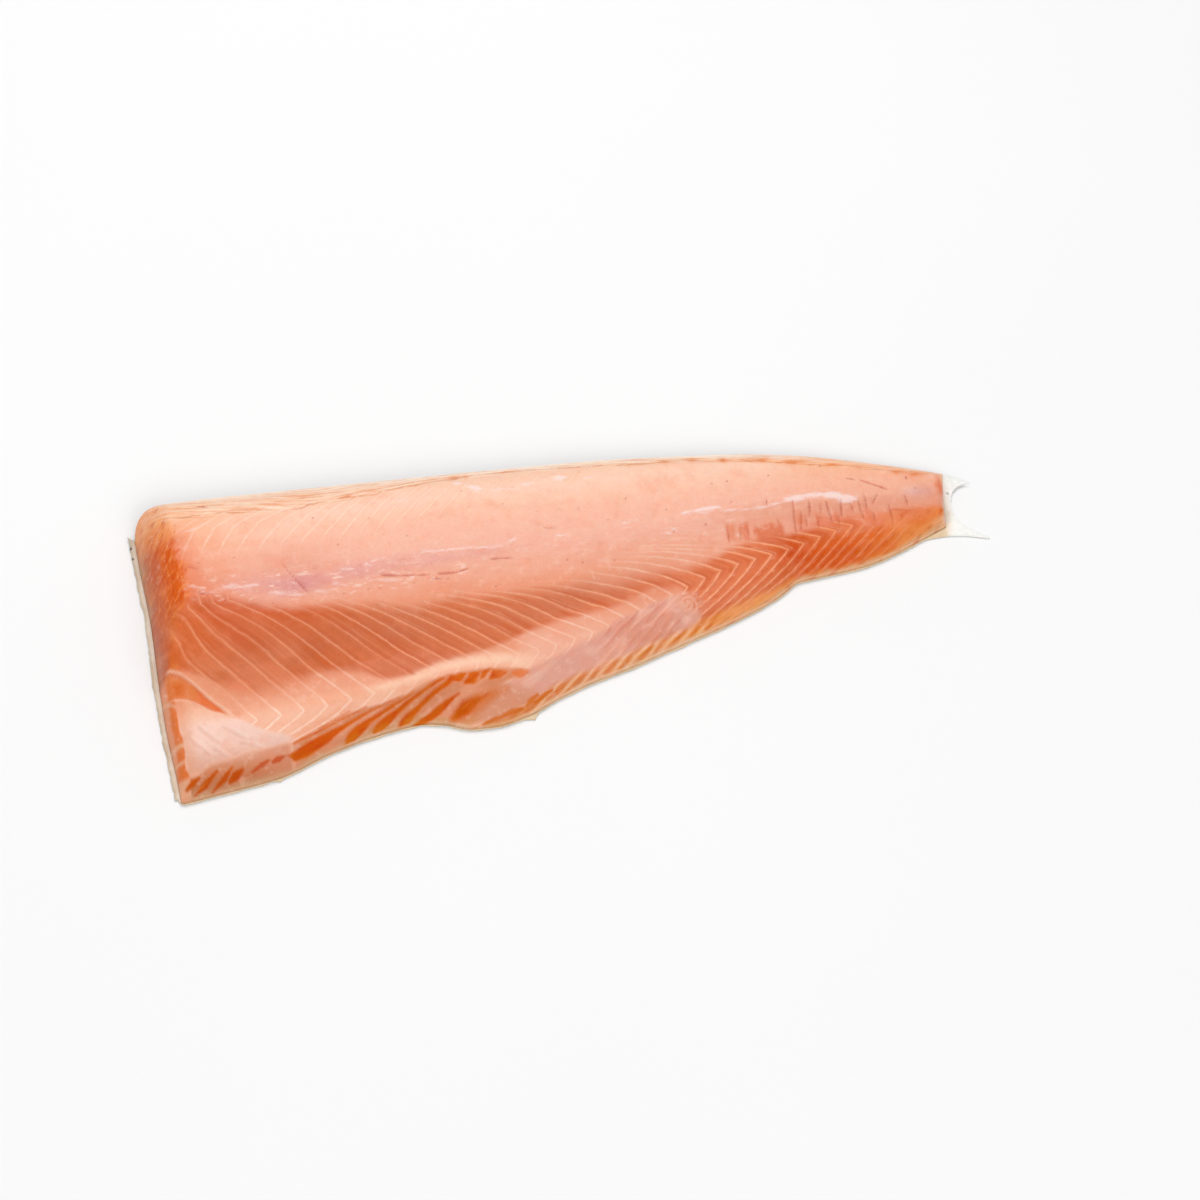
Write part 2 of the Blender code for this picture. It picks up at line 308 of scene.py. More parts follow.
def ribbons(x, y, items):
    """Signed distance to the nearest of many bands, each a row of (x, y, half width) stations."""
    best = np.full(x.shape, 9.0)
    for line in items:
        for (x0, y0, h0), (x1, y1, h1) in zip(line[:-1], line[1:]):
            d, t = capsule(x, y, x0, y0, x1, y1)
            best = np.minimum(best, d - h0 - (h1 - h0) * t)
    return best


CUTS = [
    (-110, 16.4, -101, 14.6, 0.8), (-101, 14.6, -92, 13.2, 0.5), (-92, 13, -84, 12.4, 0.4), (-80, 12.2, -70, 11.6, 0.7),
    (-69, 11.8, -63, 13, 0.5), (-84, 9.6, -78, 9, 0.5), (-50, 17.6, -44, 17.4, 0.6), (-44, 17, -38, 16.4, 0.5),
    (-161, 32, -156, 22, 0.35), (-156, 22, -150.5, 12.5, 0.6), (-208, 21.8, -202.5, 20.6, 0.45), (-211, 39, -206, 36.5, 0.4),
    (171, 44, 178, 40, 0.5), (178, 40, 185, 36, 0.5), (163, 46, 168, 44.6, 0.35),
    (-19, 36, -16, 32.6, 0.15), (-16, 32.6, -10, 32, 0.2), (-6, 45, -4, 42.6, 0.1), (6, 45, 5, 41.5, 0.1),
    (113, 37, 112, 33, 0.4), (199, 44, 198, 41.5, 0.5), (-200, 77.4, -195, 75.6, 0.6),
]  # fmt: skip
WRINKLES = [
    (-224, -56, -216, -66, 0.4), (-219, -50, -210, -60, 0.5), (-212, -64, -205, -71, 0.4), (-206, -52, -196, -60, 0.4), (-198, -62, -188, -67, 0.4),
]  # fmt: skip
NEEDLES = [
    (127.5, 34, 125, 14, 0.6), (131, 27, 128.5, 16, 0.45), (137.5, 34, 135.5, 24, 0.7), (143.5, 32, 142.5, 25, 0.5),
    (147, 32, 147.5, 19, 0.7), (156, 32, 154, 22, 0.7), (161, 30, 162, 24, 0.5), (166, 31, 166.5, 19, 0.5),
    (170.5, 35, 170, 25, 0.5), (178, 33, 174, 28, 0.45), (133, 24, 132.5, 18, 0.4), (140, 22, 139, 17, 0.4),
    (152, 22, 151, 15, 0.4), (173, 22, 172.5, 17, 0.4), (194, 31, 194.5, 25, 0.5), (116, 24, 117, 19, 0.35),
    (86.4, 22, 85.2, 13, 0.4), (94, 22, 92, 12.5, 0.3), (98, 21, 97, 15, 0.2), (183.5, 26, 182.5, 14, 0.5),
]  # fmt: skip
PITS = [
    (-131.5, 8.3), (-118.3, 9), (-112.2, 8.4), (-93.5, 8.4), (-75, 8.2), (-185.8, 39.6), (-205, 39.8), (-170, 8.8), (-110, 52.5),
    (-92, 38), (-55, 52), (-50, 0.2), (-129.5, 38.5), (20, 33), (93, 50.5), (92, 36.5), (84, 50), (-8, 10.5), (0, 8), (18, 7.6),
    (55, 21.6), (74, 24), (201.5, 34.5), (-104, 41), (-57, 63), (33, 46), (-36, 51), (54, 36), (118, 52), (150, 56), (-140, 58),
    (-208, 1), (-218, 33), (-216, 32.4),
]  # fmt: skip
# white gristle and connective tissue; some strokes, above all the short ones on the upper loin near y 62 to 69, are
# painted highlights of wet sheen
GRISTLE_AND_GLINTS = [
    (62, 32.4, 70, 33, 0.9), (70, 33, 84, 34, 1.6), (84, 31.6, 100, 31, 0.3), (100, 31, 112, 31.6, 0.35), (112, 32, 124, 34.2, 0.5),
    (124, 34.8, 135, 36, 2.3), (132, 36, 150, 36.6, 1.6), (146, 36, 158, 34.6, 2.4), (153, 33.4, 165, 31.8, 2.8),
    (-194, 22.6, -186, 22.2, 1.3), (-186, 21.6, -176, 21, 1.0), (-170, 15.6, -162, 14.2, 1.0), (-162, 14.2, -152, 10.8, 0.8),
    (-146, 11.6, -139, 11, 0.8), (-130, 23, -124, 21.6, 0.7), (-117.6, 24, -115, 22.6, 0.7), (-136, 15.6, -130, 13, 0.5),
    (-86, 26.4, -74, 26.6, 0.5), (-72, 26.4, -56, 25.4, 0.35), (-56, 24.6, -42, 24.4, 0.4), (-116, 14, -100, 11.6, 0.6), (-38, 26, -34, 27.6, 0.7),
    (-60, 68.6, -56, 68.4, 1.3), (-54, 66, -46, 62.6, 1.6), (-4, 64.6, 3, 63.8, 1.7), (-22, 63, -16, 63, 0.6), (13, 62.6, 17, 62.6, 0.6),
    (48, 21.6, 53, 20.6, 0.3), (54, 24, 58, 21.4, 0.3), (-213, 28, -208, 25, 0.4), (-208, 25, -204, 24, 0.5), (-206, 22.4, -200, 20.8, 0.4),
    (-12, 26.6, -4, 26.4, 0.3), (28, 30.6, 36, 31.2, 0.3), (-210, 60.5, -196, 64.6, 0.3), (-96, 61.6, -86, 61.4, 0.4), (-40, 61, -24, 60.6, 0.4),
]  # fmt: skip
BLOBS = [(61, 68.8, 3.4, 1.7), (77, 68.0, 3.6, 1.4), (94.5, 65.8, 2.4, 2.2), (117, 63.2, 2.8, 1.8), (135, 60.4, 7.0, 1.6), (157, 56.4, 5.0, 1.2),
         (195, 47.2, 4.2, 1.8), (205, 44.6, 6.0, 2.0), (-118, 68.6, 3.0, 1.5), (-58, 74.4, 3.6, 2.0), (-52, 74, 1.4, 2.0)]  # fmt: skip
# deep orange meat between the fat layers of the belly, which the knife has laid open along the edge
BELLY_MEAT = [
    [(-171, -66.2, 0.4), (-160, -62.4, 0.5), (-150, -58.6, 0.4), (-140, -55, 0.4), (-130, -51.9, 0.2)],
    [(-167, -64, 0.1), (-158, -60.4, 0.2), (-148, -56.6, 0.2), (-139, -53, 0.1)],
    [(-171.8, -72.6, 2.1), (-166, -70.4, 2.8), (-160, -67.5, 2.8), (-154, -64.8, 2.4), (-148, -62, 1.7), (-142, -59.3, 1.0), (-136, -56.8, 0.8), (-128, -53.7, 0.5), (-118, -50.9, 0.3), (-110, -48.8, 0.1)],
    [(-147, -70.5, 0.3), (-143.5, -67.8, 1.5), (-139.6, -65.2, 2.9), (-135.6, -62.1, 2.5), (-130, -58.7, 1.5), (-126, -56.9, 1.1), (-120, -54.3, 1.0), (-114, -51.8, 0.8), (-108, -49.6, 0.6), (-103, -47.6, 0.3)],
    [(-130, -65.6, 0.3), (-127.6, -63.9, 1.8), (-124, -61.9, 2.6), (-119.6, -58.8, 2.2), (-115, -56, 1.5), (-110.5, -53.4, 1.2), (-105, -50.4, 1.0), (-99, -48, 0.9), (-93, -45.8, 0.9), (-87, -43.8, 0.9)],
    [(-117, -64, 0.5), (-113, -62, 2.1), (-109, -59.3, 2.3), (-105, -56.3, 1.7), (-100.5, -53.4, 1.2), (-95.5, -50.8, 1.2), (-90.5, -48.5, 1.4), (-86, -46.8, 1.6), (-83, -45.4, 1.6)],
    [(-107, -63.4, 0.6), (-102, -61.8, 1.7), (-97, -60, 2.0), (-92, -57.6, 2.1), (-87.6, -55.4, 1.7), (-84, -54, 1.1), (-80, -52.8, 0.5)],
    [(-84, -44.3, 2.0), (-80, -44.6, 2.4), (-76, -45.9, 3.4), (-72, -46.3, 3.4), (-68, -45.2, 2.6), (-62, -45.5, 3.3), (-57, -45.2, 2.6), (-52.6, -45, 1.0)],
    [(-49.4, -46, 1.2), (-45.6, -46.6, 2.4), (-41.6, -45.6, 1.0)],
    [(-229.6, -82, 1.0), (-226, -79.6, 1.6), (-222.6, -77.6, 0.6)],
    [(-226, -84.9, 0.5), (-220, -81, 1.6), (-213, -75.4, 0.7)],
    [(-217, -84.4, 0.5), (-210, -79.6, 1.5), (-205, -74.4, 0.6)],
    [(-207.4, -81, 1.0), (-203.8, -78.6, 2.2), (-200, -76.4, 1.0)],
]  # fmt: skip
BELLY_FAT = [
    [(-92, -47.8, 0.2), (-86.5, -45.4, 0.3), (-84, -42.6, 0.4)], [(-79.6, -49.4, 0.5), (-76, -46, 0.5), (-72.4, -41.6, 0.6)],
    [(-66.4, -49.8, 0.7), (-63, -46, 0.6), (-59.8, -41.4, 0.8)], [(-70.6, -49.6, 0.2), (-68, -46.4, 0.2), (-65.8, -42, 0.2)],
    [(-53.4, -49, 0.7), (-50.6, -45.4, 0.7), (-48, -41.6, 0.7)], [(-72, -60.8, 0.2), (-64, -57, 0.7), (-58, -54.6, 1.0)],
]  # fmt: skip
SOFT_MEAT = [[(-85, -62.8, 1.4), (-81.5, -61.2, 2.8), (-77.6, -59.6, 3.6), (-73.4, -57.8, 2.6), (-69, -56.6, 1.4), (-64, -55.6, 0.4)]]
FADING_MEAT = [[(-83, -63.4, 2.6), (-77, -61.6, 3.6), (-70, -58.4, 4.2), (-62, -55.6, 2.8), (-54, -53.6, 1.0)]]
FAINT_MEAT = [
    [(-195.4, -78, 0.4), (-190, -75.4, 1.1), (-185.6, -73.4, 0.5)], [(-183.4, -74.4, 0.8), (-180.5, -73.2, 1.5), (-177.6, -72.4, 0.6)],
    [(-70, -69, 0.4), (-64, -67.4, 1.0), (-60, -66.6, 0.6)], [(-60, -66.8, 0.6), (-54, -65, 1.3), (-47, -63.8, 0.8)],
    [(-45, -62.6, 0.6), (-41.5, -60, 1.2), (-37.6, -57.6, 0.6)], [(-40, -61.6, 0.5), (-33, -57.6, 1.0), (-29, -55.6, 0.5)],
    [(-175.5, -72, 0.3), (-173.4, -72.4, 0.9)],
]  # fmt: skip


def ember(x, y, p):
    """The deep orange of the belly meat, paler towards the sides of each stripe and yellow at the belly's edge."""
    core = ramp(x, (-235, 200, 92, 22), (-200, 194, 82, 14), (-175, 205, 94, 10), (-165, 208, 88, 2), (-150, 210, 90, 2), (-140, 214, 98, 6), (-125, 209, 94, 6), (-110, 206, 98, 16), (-95, 207, 98, 14), (-84, 211, 94, 12), (-76, 213, 103, 34), (-62, 213, 105, 40), (-50, 226, 124, 74), (-40, 236, 140, 92))
    side = ramp(x, (-235, 206, 112, 54), (-190, 200, 104, 50), (-175, 216, 118, 48), (-150, 226, 124, 52), (-125, 222, 120, 54), (-100, 218, 122, 56), (-80, 226, 124, 62), (-62, 226, 130, 76), (-50, 234, 146, 104))
    c = mix(core, side, step(p["flap"], -1.1, 0.6) * 0.75)
    soft = 1 - step(ribbons(x, y, SOFT_MEAT), -2, 1.5)
    c = mix(c, ramp(x, (-86, 206, 108, 26), (-81, 204, 94, 6), (-76, 203, 88, 2), (-73, 204, 94, 12), (-69, 210, 106, 46), (-64, 214, 118, 70)), soft * step(-51.5 - y, -0.8, 0.8) * step(x, -86.5, -84))
    c = mix(c, tone(209, 124, 40), (1 - step(p["foot"], 2.0, 5.6)) * (1 - step(x, -104, -96)) * step(x, -200, -180) * 0.6)
    c = mix(c, tone(200, 76, 12), 0.7 * (bump(x, -83, 2.4) * bump(y, -44.6, 1.3) + bump(x, -74.4, 3) * bump(y, -47.2, 1.3) + bump(x, -61, 3.4) * bump(y, -46, 1.8)))
    return c


def places(x, y):
    """Every mask that the colours, the relief and the shader share."""
    p = {}
    yb, yd = belly_y(x), back_y(x)
    p["rim"] = yd - y
    p["foot"] = y - yb
    top = curve(x, (-240, 24), (-200, 17), (-185, 12), (-170, 7.5), (-155, 4), (-140, 3.6), (-125, 1), (-115, -1.6), (-105, -3.4), (-95, -4.8), (-85, -4), (-75, -2.6), (-60, -3), (-20, -5), (10, -4), (40, -1.2), (60, 0.4), (72, 3.2), (84, 7.8), (94, 11), (102, 13), (112, 14), (119, 14.4), (125, 15.4), (140, 17), (147, 17.5), (152, 19), (160, 19), (165, 15), (176, 15.5), (183, 21), (188, 23), (200, 24), (222, 22))
    foot = curve(x, (-240, -17), (-226, -18), (-214, -23), (-205, -30), (-190, -36), (-165, -34), (-150, -28.4), (-138, -29.4), (-128, -33), (-118, -38), (-108, -39.5), (-96, -37), (-84, -33.5), (-62, -31), (-50, -28), (-36, -23.5), (-20, -19), (0, -16.5), (14, -14), (26, -11.5), (36, -8), (50, -8), (57, -14), (64, -40), (240, -60))
    soft = curve(x, (-240, 6), (-215, 10), (-170, 12), (-140, 8), (-122, 4), (-50, 3.5), (-20, 5), (40, 5), (240, 5))
    wave = 1.6 * cloud(x / 13, y / 13, 5)
    blur = curve(x, (-240, 6), (-190, 5), (-120, 5.5), (60, 5), (80, 3.5), (110, 3), (222, 4))
    p["meat"] = step(top - y + wave, -blur * 0.9, blur * 0.9) * step(y - foot + wave * 0.5, -soft / 2, soft / 2)
    reach = x - HEAD_X
    face_w = curve(y, (-90, 4.4), (-60, 6.0), (-34, 6.0), (-22, 8.0), (-6, 9), (10, 13), (20, 21), (26, 23.5), (34, 23), (50, 21), (60, 19.5), (70, 17), (90, 13))
    lobes = 1.3 * np.sin((y - 0.7 * x) * 2 * np.pi / 4.1) * band(y, 34, 80, 8) + 3.2 * noise(x / 5, y / 6.5, 7) + 1.5 * noise(x / 4, y / 2.4, 12)
    p["cutface"] = (1 - step(reach + lobes * step(y, -18, -6), face_w - 2.5, face_w + 4.5)) * step(y, -24, -17)
    p["rings"] = np.hypot(x + 203, (y - 40) * np.where(y > 40, 0.78, 0.4))
    p["strip"] = step(-30 - y, -1.5, 2) * (1 - step(reach, 6.4 + 0.8 * noise(y / 7, 0 * y, 6), 7.2 + 0.8 * noise(y / 7, 0 * y, 6)))
    face_top = curve(x, (-180, -70), (-171.5, -65.4), (-160, -61.2), (-150, -57.2), (-140, -54), (-130, -52.2), (-120, -51), (-108, -48.2), (-98, -44.8), (-90, -43.2), (-82, -42), (-70, -41.4), (-60, -41.8), (-48, -43.2), (-38, -45.6))
    face_low = curve(x, (-180, -90), (-90, -90), (-84, -66), (-76, -62), (-66, -56), (-58, -52), (-52, -49.6), (-44, -48.8), (-36, -46))
    p["face"] = step(face_top - y, -0.6, 0.9) * step(y - face_low, -1.2, 1.6) * step(x, -172.8, -171.6) * (1 - step(x, -43, -37))
    shelf_top = curve(x, (-90, -66), (-82, -64), (-74, -60), (-66, -55), (-58, -50.6), (-44, -48.6), (-38, -44), (-24, -39), (-10, -34), (4, -28.5), (14, -23), (26, -19), (38, -15.6), (47, -14.6), (56, -13.6), (62, -14.6), (68, -18))
    edge_w = curve(x, (-90, 1), (-70, 3), (-52, 5), (-42, 6), (-36, 6.4), (-10, 5.6), (10, 6.4), (30, 6), (50, 5.6), (62, 6.6), (80, 6.4), (100, 5.4), (112, 3.6), (124, 1.4), (140, 1.8), (180, 2.6), (196, 4), (206, 5), (214, 5.5))
    p["shelf"] = step(shelf_top - y + 0.8 * wave, -1.8, 1.8) * step(y - yb - edge_w, -1.5, 1.5) * step(x, -87, -81) * (1 - step(x + 0.5 * (y + 20) + 4 * noise(y / 3.4, x / 8, 91) + 2 * noise(y / 1.7, x / 6, 92), 48, 64))
    p["edge"] = (1 - step(y - yb - edge_w + 0.6 * wave, -2.2, 2.2)) * band(x, -70, 218, 10)
    lip_hi = curve(x, (-234, -17.6), (-229, -18), (-224, -19.6), (-219, -24), (-213, -31.4), (-207, -38.6), (-199, -47.2))
    lip_lo = curve(x, (-234, -31.6), (-226, -32.2), (-222, -33.4), (-216, -37), (-210, -41.4), (-205, -44), (-199, -47.4))
    p["lip"] = lip_hi
    p["wedge"] = step(lip_hi - 0.6 - y, 0.0, 0.9) * step(y - lip_lo, -0.2, 0.7) * step(x, -233.2, -231.0) * (1 - step(x, -206, -201))
    p["lip_line"] = bump(y - lip_hi, 0.5, 0.75) * step(x, -232, -229.5) * (1 - step(x, -202, -197)) + 0.45 * bump(y - lip_lo, -0.5, 0.8) * step(x, -233, -230) * (1 - step(x, -206, -201))
    p["above_lip"] = step(y - lip_hi, 0, 1) * step(curve(x, (-230, -17), (-216, -20), (-207, -24.6), (-200, -30.5), (-192, -38), (-180, -44)) - y, -1, 2.5) * step(x, -229, -222) * (1 - step(x, -203, -188))
    m_top = curve(x, (-232, -30.8), (-224, -32.2), (-219, -36), (-213, -40), (-205, -44.6), (-198, -47.6), (-191, -52), (-184, -57), (-176, -60), (-168, -63))
    m_low = curve(x, (-232, -78), (-225, -76.4), (-217, -72.2), (-212, -71), (-198, -68.5), (-180, -66.8), (-170, -65))
    p["membrane"] = step(m_top - y + 0.35 * wave, -0.8, 1.8) * step(y - m_low + 0.5 * wave, -2.6, 2.6) * step(x, -229.4, -227.2) * (1 - step(x, -175, -167.5))
    # painted highlight: the bright band along the belly's raised ridge, where it catches the back light; the muscle
    # lines are drawn fainter and wider under it
    ridge = curve(x, (-135, -45.5), (-120, -44), (-108, -42.4), (-96, -39.6), (-85, -37.2), (-70, -36.4), (-52, -37.4), (-44, -40), (-34, -38.5))
    p["ridge"] = bump(y, ridge, curve(x, (-135, 3), (-110, 2.6), (-96, 3.2), (-80, 3.6), (-60, 4.2), (-44, 4.6), (-34, 4))) * band(x, -126, -38, 14)
    p["back_rim"] = step(y - curve(x, (-240, 70), (-200, 69), (-160, 66), (-130, 66), (-60, 72), (-20, 72.5), (40, 68), (90, 65), (130, 59), (170, 52.5), (222, 43)), -2.0, 2.5)
    p["bloodline"] = bump(y, curve(x, (-200, 25), (-170, 19), (-150, 17.5), (-130, 20), (-100, 21.5), (-60, 21.5), (-30, 23)), curve(x, (-200, 4), (-160, 6.5), (-140, 5), (-100, 5.5), (-60, 3.4), (-30, 3))) * band(x, -184, -44, 36)
    p["tail_lilac"] = bump(y, 31, 4.6) * band(x, 193, 211, 9)
    p["under_gristle"] = band(y, curve(x, (60, 12), (90, 22), (222, 22)), curve(x, (60, 30), (120, 34), (165, 31), (222, 30)), 6) * step(x, 62, 118)
    p["apex"] = 1 - step(np.hypot(x - 55.5, (y + 18.6) * 1.15) + 1.5 * noise(x / 4, y / 4, 23), 4.5, 9)
    p["median"] = band(y, curve(x, (-212, 18), (-180, 12), (-150, 8), (-100, 7), (-30, 9), (90, 12)), curve(x, (-212, 30), (-150, 28), (-90, 27), (0, 28), (90, 33)), 7) * (band(x, -212, -60, 26) + 0.45 * band(x, -60, 100, 30))
    p["dark"] = strokes(x, y, CUTS)
    p["needle"] = strokes(x, y, NEEDLES)
    p["pit"] = strokes(x, y, [(a - 0.35, b, a + 0.35, b + 0.3, 0.55) for a, b in PITS])
    p["white"] = strokes(x, y, GRISTLE_AND_GLINTS)
    ends = 1.3 * (1 - step(y - yb, 0.2, 4.2)) * band(x, -158, -110, 6) + 0.5 * noise(x / 3.2, y / 2.4, 97) * band(x, -84, -40, 4) * step(y, -52, -50)
    p["flap"] = np.minimum(np.maximum(ribbons(x, y, BELLY_MEAT), -ribbons(x, y, BELLY_FAT)) + ends, 0.5 * ribbons(x, y, SOFT_MEAT))
    p["flap2"] = ribbons(x, y, FAINT_MEAT)
    p["streak_y"] = curve(x, (-240, 87), (-205, 80.5), (-170, 74.5), (-135, 68), (-112, 69), (-90, 70.4), (-60, 73.4), (-24, 74.4), (5, 72.4), (40, 69.4), (90, 66.2), (116, 62.4), (132, 60), (160, 55.4), (182, 50.4), (222, 43.6))
    p["seam_y"] = curve(x, (-240, 72), (-215, 71), (-190, 70), (-168, 67.5), (-150, 65), (-140, 66.4), (-128, 68), (-112, 68.2), (-95, 69.4), (-80, 71), (-58, 73), (-44, 74.6), (-24, 74.4), (5, 72.4), (40, 69.4), (62, 68.8), (90, 66.2), (116, 62.4), (132, 60), (160, 55.4), (182, 50.4), (196, 47.8), (222, 43.6))
    return p


def paint(x, y, p):
    """The flesh's colour before its lines, streaks, spots and grain."""
    blotch = cloud(x / 26, y / 16, 11)
    fine = cloud(x / 8, y / 5.5, 17)
    # the thick loin, paler towards the back: partly its own colour, partly a painted reflection of the back light on
    # its flat top
    c = ramp(y + 2.2 * blotch + 1.2 * fine, (0, 237, 158, 126), (6, 239, 167, 139), (14, 241, 174, 148), (22, 242, 178, 156), (30, 245, 184, 161), (40, 248, 187, 162), (50, 251, 196, 169), (60, 252, 206, 181), (72, 251, 204, 176), (84, 247, 214, 192))
    head = ramp(y + 2.5 * blotch, (10, 228, 126, 88), (22, 235, 146, 116), (30, 238, 156, 124), (40, 243, 164, 132), (50, 247, 172, 138), (60, 251, 184, 148), (70, 249, 184, 146), (84, 249, 205, 172))
    c = mix(c, head, step(x, -168, -210))
    c = mix(c, tone(236, 140, 104), (1 - step(reach_of(x, y), 20, 35)) * band(y, 14, 62, 16) * 0.85)
    c = mix(c, tone(226, 140, 112), bump(x, -158, 30) * bump(y, 29, 15) * (0.4 + 0.12 * fine))
    c = mix(c, tone(228, 124, 84), bump(x, -208, 9) * bump(y, 24, 12) * 0.4)
    c = mix(c, tone(246, 168, 132), bump(x, -170, 16) * bump(y, 60, 6) * 0.4)
    tail = ramp(y, (10, 228, 120, 78), (20, 232, 140, 105), (26, 232, 156, 129), (34, 241, 178, 152), (44, 248, 184, 156), (54, 250, 186, 152), (62, 247, 188, 152))
    c = mix(c, tail, step(x, 108, 170))
    c = mix(c, tone(242, 170, 138), step(x, 186, 214) * step(y, 32, 44))
    c = mix(c, tone(226, 110, 62), (1 - step(tail_x(y, x) - x + 1.4 * noise(y / 3.2, x / 8, 36), 2.5, 8.0)) * step(y, 24, 32) * 0.85)
    c = mix(c, tone(246, 176, 122), (1 - step(tail_x(y, x) - x, 0.5, 3.5)) * step(y, 33, 40) * 0.9)
    # the belly wall between the loin and the V tips
    meat = ramp(x, (-235, 218, 112, 62), (-210, 216, 110, 64), (-190, 211, 108, 70), (-150, 211, 110, 68), (-110, 212, 116, 77), (-70, 215, 119, 79), (-30, 219, 124, 85), (20, 221, 128, 92), (60, 226, 127, 88), (90, 226, 121, 79), (108, 222, 114, 70), (124, 210, 94, 46), (150, 219, 106, 52), (172, 227, 115, 60), (196, 231, 128, 66), (222, 236, 140, 80))
    meat = mix(meat, tone(208, 94, 50), band(x, -208, -140, 24) * step(y + 0.12 * (x + 150), -7, 3) * 0.66)
    meat = mix(meat, tone(220, 130, 92), step(y, -6, -22) * (1 - step(x, -172, -148)) * step(x, -226, -212) * 0.85)
    meat = mix(meat, tone(226, 140, 104), step(y, -24, -36) * (1 - step(x, -136, -118)) * 0.7)
    meat = mix(meat, tone(221, 96, 40), bump(x - y * 0.5, 132, 14) * bump(y, 0, 5) * 0.6)
    meat = mix(meat, tone(217, 90, 16), band(x, 116, 168, 20) * step(4.4 - y + 0.1 * (x - 120), -4, 5) * 0.9)
    meat = mix(meat, tone(228, 112, 42), band(x, 160, 205, 20) * step(7.4 - y + 0.12 * (x - 160), -4, 5) * 0.7)
    meat = mix(meat, tone(227, 134, 98), band(x, 133, 206, 14) * step(y - curve(x, (130, 6.5), (150, 10.5), (165, 9.5), (180, 13), (206, 17)), -2.5, 3) * 0.62)
    meat = mix(meat, tone(197, 98, 56), 0.5 * step(blotch, 0.15, 0.7) * (1 - step(x, -90, -60)))
    # below the saturated meat, towards the V tips: paler, partly its own tone and partly a painted reflection where the
    # surface flattens
    pale = ramp(y, (-50, 246, 188, 160), (-45, 243, 177, 145), (-40, 237, 164, 132), (-34, 233, 155, 121), (-26, 230, 148, 112))
    pale = mix(pale, ramp(y, (-44, 240, 182, 158), (-30, 240, 176, 150), (-18, 236, 166, 137), (-10, 231, 150, 118)), step(x, -50, -34))
    lower = step(-8 - y, -6, 6) * (1 - step(x, 40, 60))
    c = mix(c, pale, lower * step(tip_y(x) + 34 - y, -8, 8))
    c = mix(c, meat, p["meat"])
    # middle
    c = mix(c, tone(224, 156, 152), p["bloodline"] * (0.75 + 0.35 * fine) * curve(x, (-190, 0.9), (-150, 0.9), (-120, 0.75), (-95, 0.5), (-60, 0.4), (-30, 0.3)))
    c = mix(c, tone(221, 148, 140), bump(x, -155, 12) * bump(y, 18, 4.5) * 0.8)
    c = mix(c, ramp(x, (190, 242, 180, 158), (199, 231, 178, 168), (209, 219, 154, 142)), p["tail_lilac"] * 0.9)
    c = mix(c, tone(233, 162, 134), p["under_gristle"] * (0.75 + 0.2 * fine))
    for bx in (127, 137.5, 147.5, 156, 167):
        c = mix(c, tone(222, 118, 80), bump(x, bx + 2.6, 2.2) * bump(y, 21, 5) * 0.6)
    rough = 1.2 * noise(x / 3, y / 3, 94) + 0.7 * noise(x / 1.6, y / 4, 95)
    c = mix(c, tone(214, 100, 58), band(x + rough, 101.5, 118.5, 3.4) * band(y + rough, 9.5, 20.6, 4) * 0.9)
    c = mix(c, tone(222, 112, 74), band(x + 0.6 * rough, 92.4, 98.6, 1.8) * band(y + rough - 0.3 * (x - 95), 12, 23, 2.4) * (0.6 + 0.25 * rough))
    c = mix(c, tone(228, 138, 106), band(x + 0.4 * rough, 85, 90.4, 1.6) * band(y + rough, 12.4, 22.6, 2.2) * 0.8)
    c = mix(c, tone(236, 150, 116), band(x, 86, 119, 4) * band(y, 9, 24, 6) * 0.35)
    c = mix(c, tone(230, 134, 92), bump(x, 190, 12) * bump(y, 19, 4) * 0.7)
    c = mix(c, tone(224, 116, 78), bump(x, 141, 16) * bump(y, 19.5, 4.5) * (0.45 + 0.3 * fine))
    c = mix(c, tone(210, 94, 42), bump(x, 132, 13) * bump(y, 10, 5) * 0.45)
    c = mix(c, tone(200, 72, 10), bump(x, 121, 8) * bump(y, 3, 6) * 0.75 * p["meat"])
    c = mix(c, tone(240, 150, 104), bump(x, 184, 7) * bump(y, 13, 5) * 0.7)
    c = mix(c, tone(242, 152, 84), bump(x - 0.8 * y, 185, 7) * band(y, 2, 12, 4) * 0.7)
    # belly
    # painted highlight along the belly's ridge
    c = mix(c, tone(250, 202, 173), p["ridge"] * 0.95)
    bars = np.sin((x - 1.25 * y) * 2 * np.pi / 6.6 + 1.6 * noise(x / 9, y / 9, 9))
    edge_tone = mix(ramp(x, (-84, 206, 120, 44), (-70, 214, 140, 84), (-50, 211, 124, 44), (-40, 213, 120, 32), (-20, 215, 124, 40), (0, 225, 146, 84), (40, 232, 148, 68), (58, 240, 152, 70), (70, 236, 148, 76), (80, 244, 165, 98), (92, 246, 162, 94), (110, 246, 160, 90), (140, 228, 132, 66), (170, 232, 140, 74), (190, 238, 150, 88), (204, 240, 158, 98), (210, 236, 172, 124), (215, 234, 192, 156)), tone(240, 184, 142), step(bars, 0.2, 0.9) * band(x, -46, 66, 16) * 0.8)
    edge_tone = mix(edge_tone, tone(210, 106, 26), step(bars, 0.0, -0.8) * (1 - step(x, 54, 84)) * 0.75)
    edge_tone = mix(edge_tone, tone(232, 178, 112), (1 - step(p["foot"], 0.5, 3.4)) * step(x, 30, 70) * 0.6)
    c = mix(c, tone(224, 162, 144), p["shelf"] * 0.97)
    band_phase = np.sin((x - 1.2 * y) * 2 * np.pi / 6.6 + 2 * noise(x / 11, y / 11, 9))
    c = mix(c, tone(216, 132, 114), p["shelf"] * step(band_phase, 0.1, 0.9) * band(x, 4, 48, 16) * band(y, -38, -17, 6) * 0.7)
    c = mix(c, tone(236, 186, 166), p["shelf"] * step(noise(x / 9 - y / 6, y / 8 + x / 16, 3), 0.0, 0.8) * 0.6 * (1 - 0.7 * band(x, 14, 48, 14)))
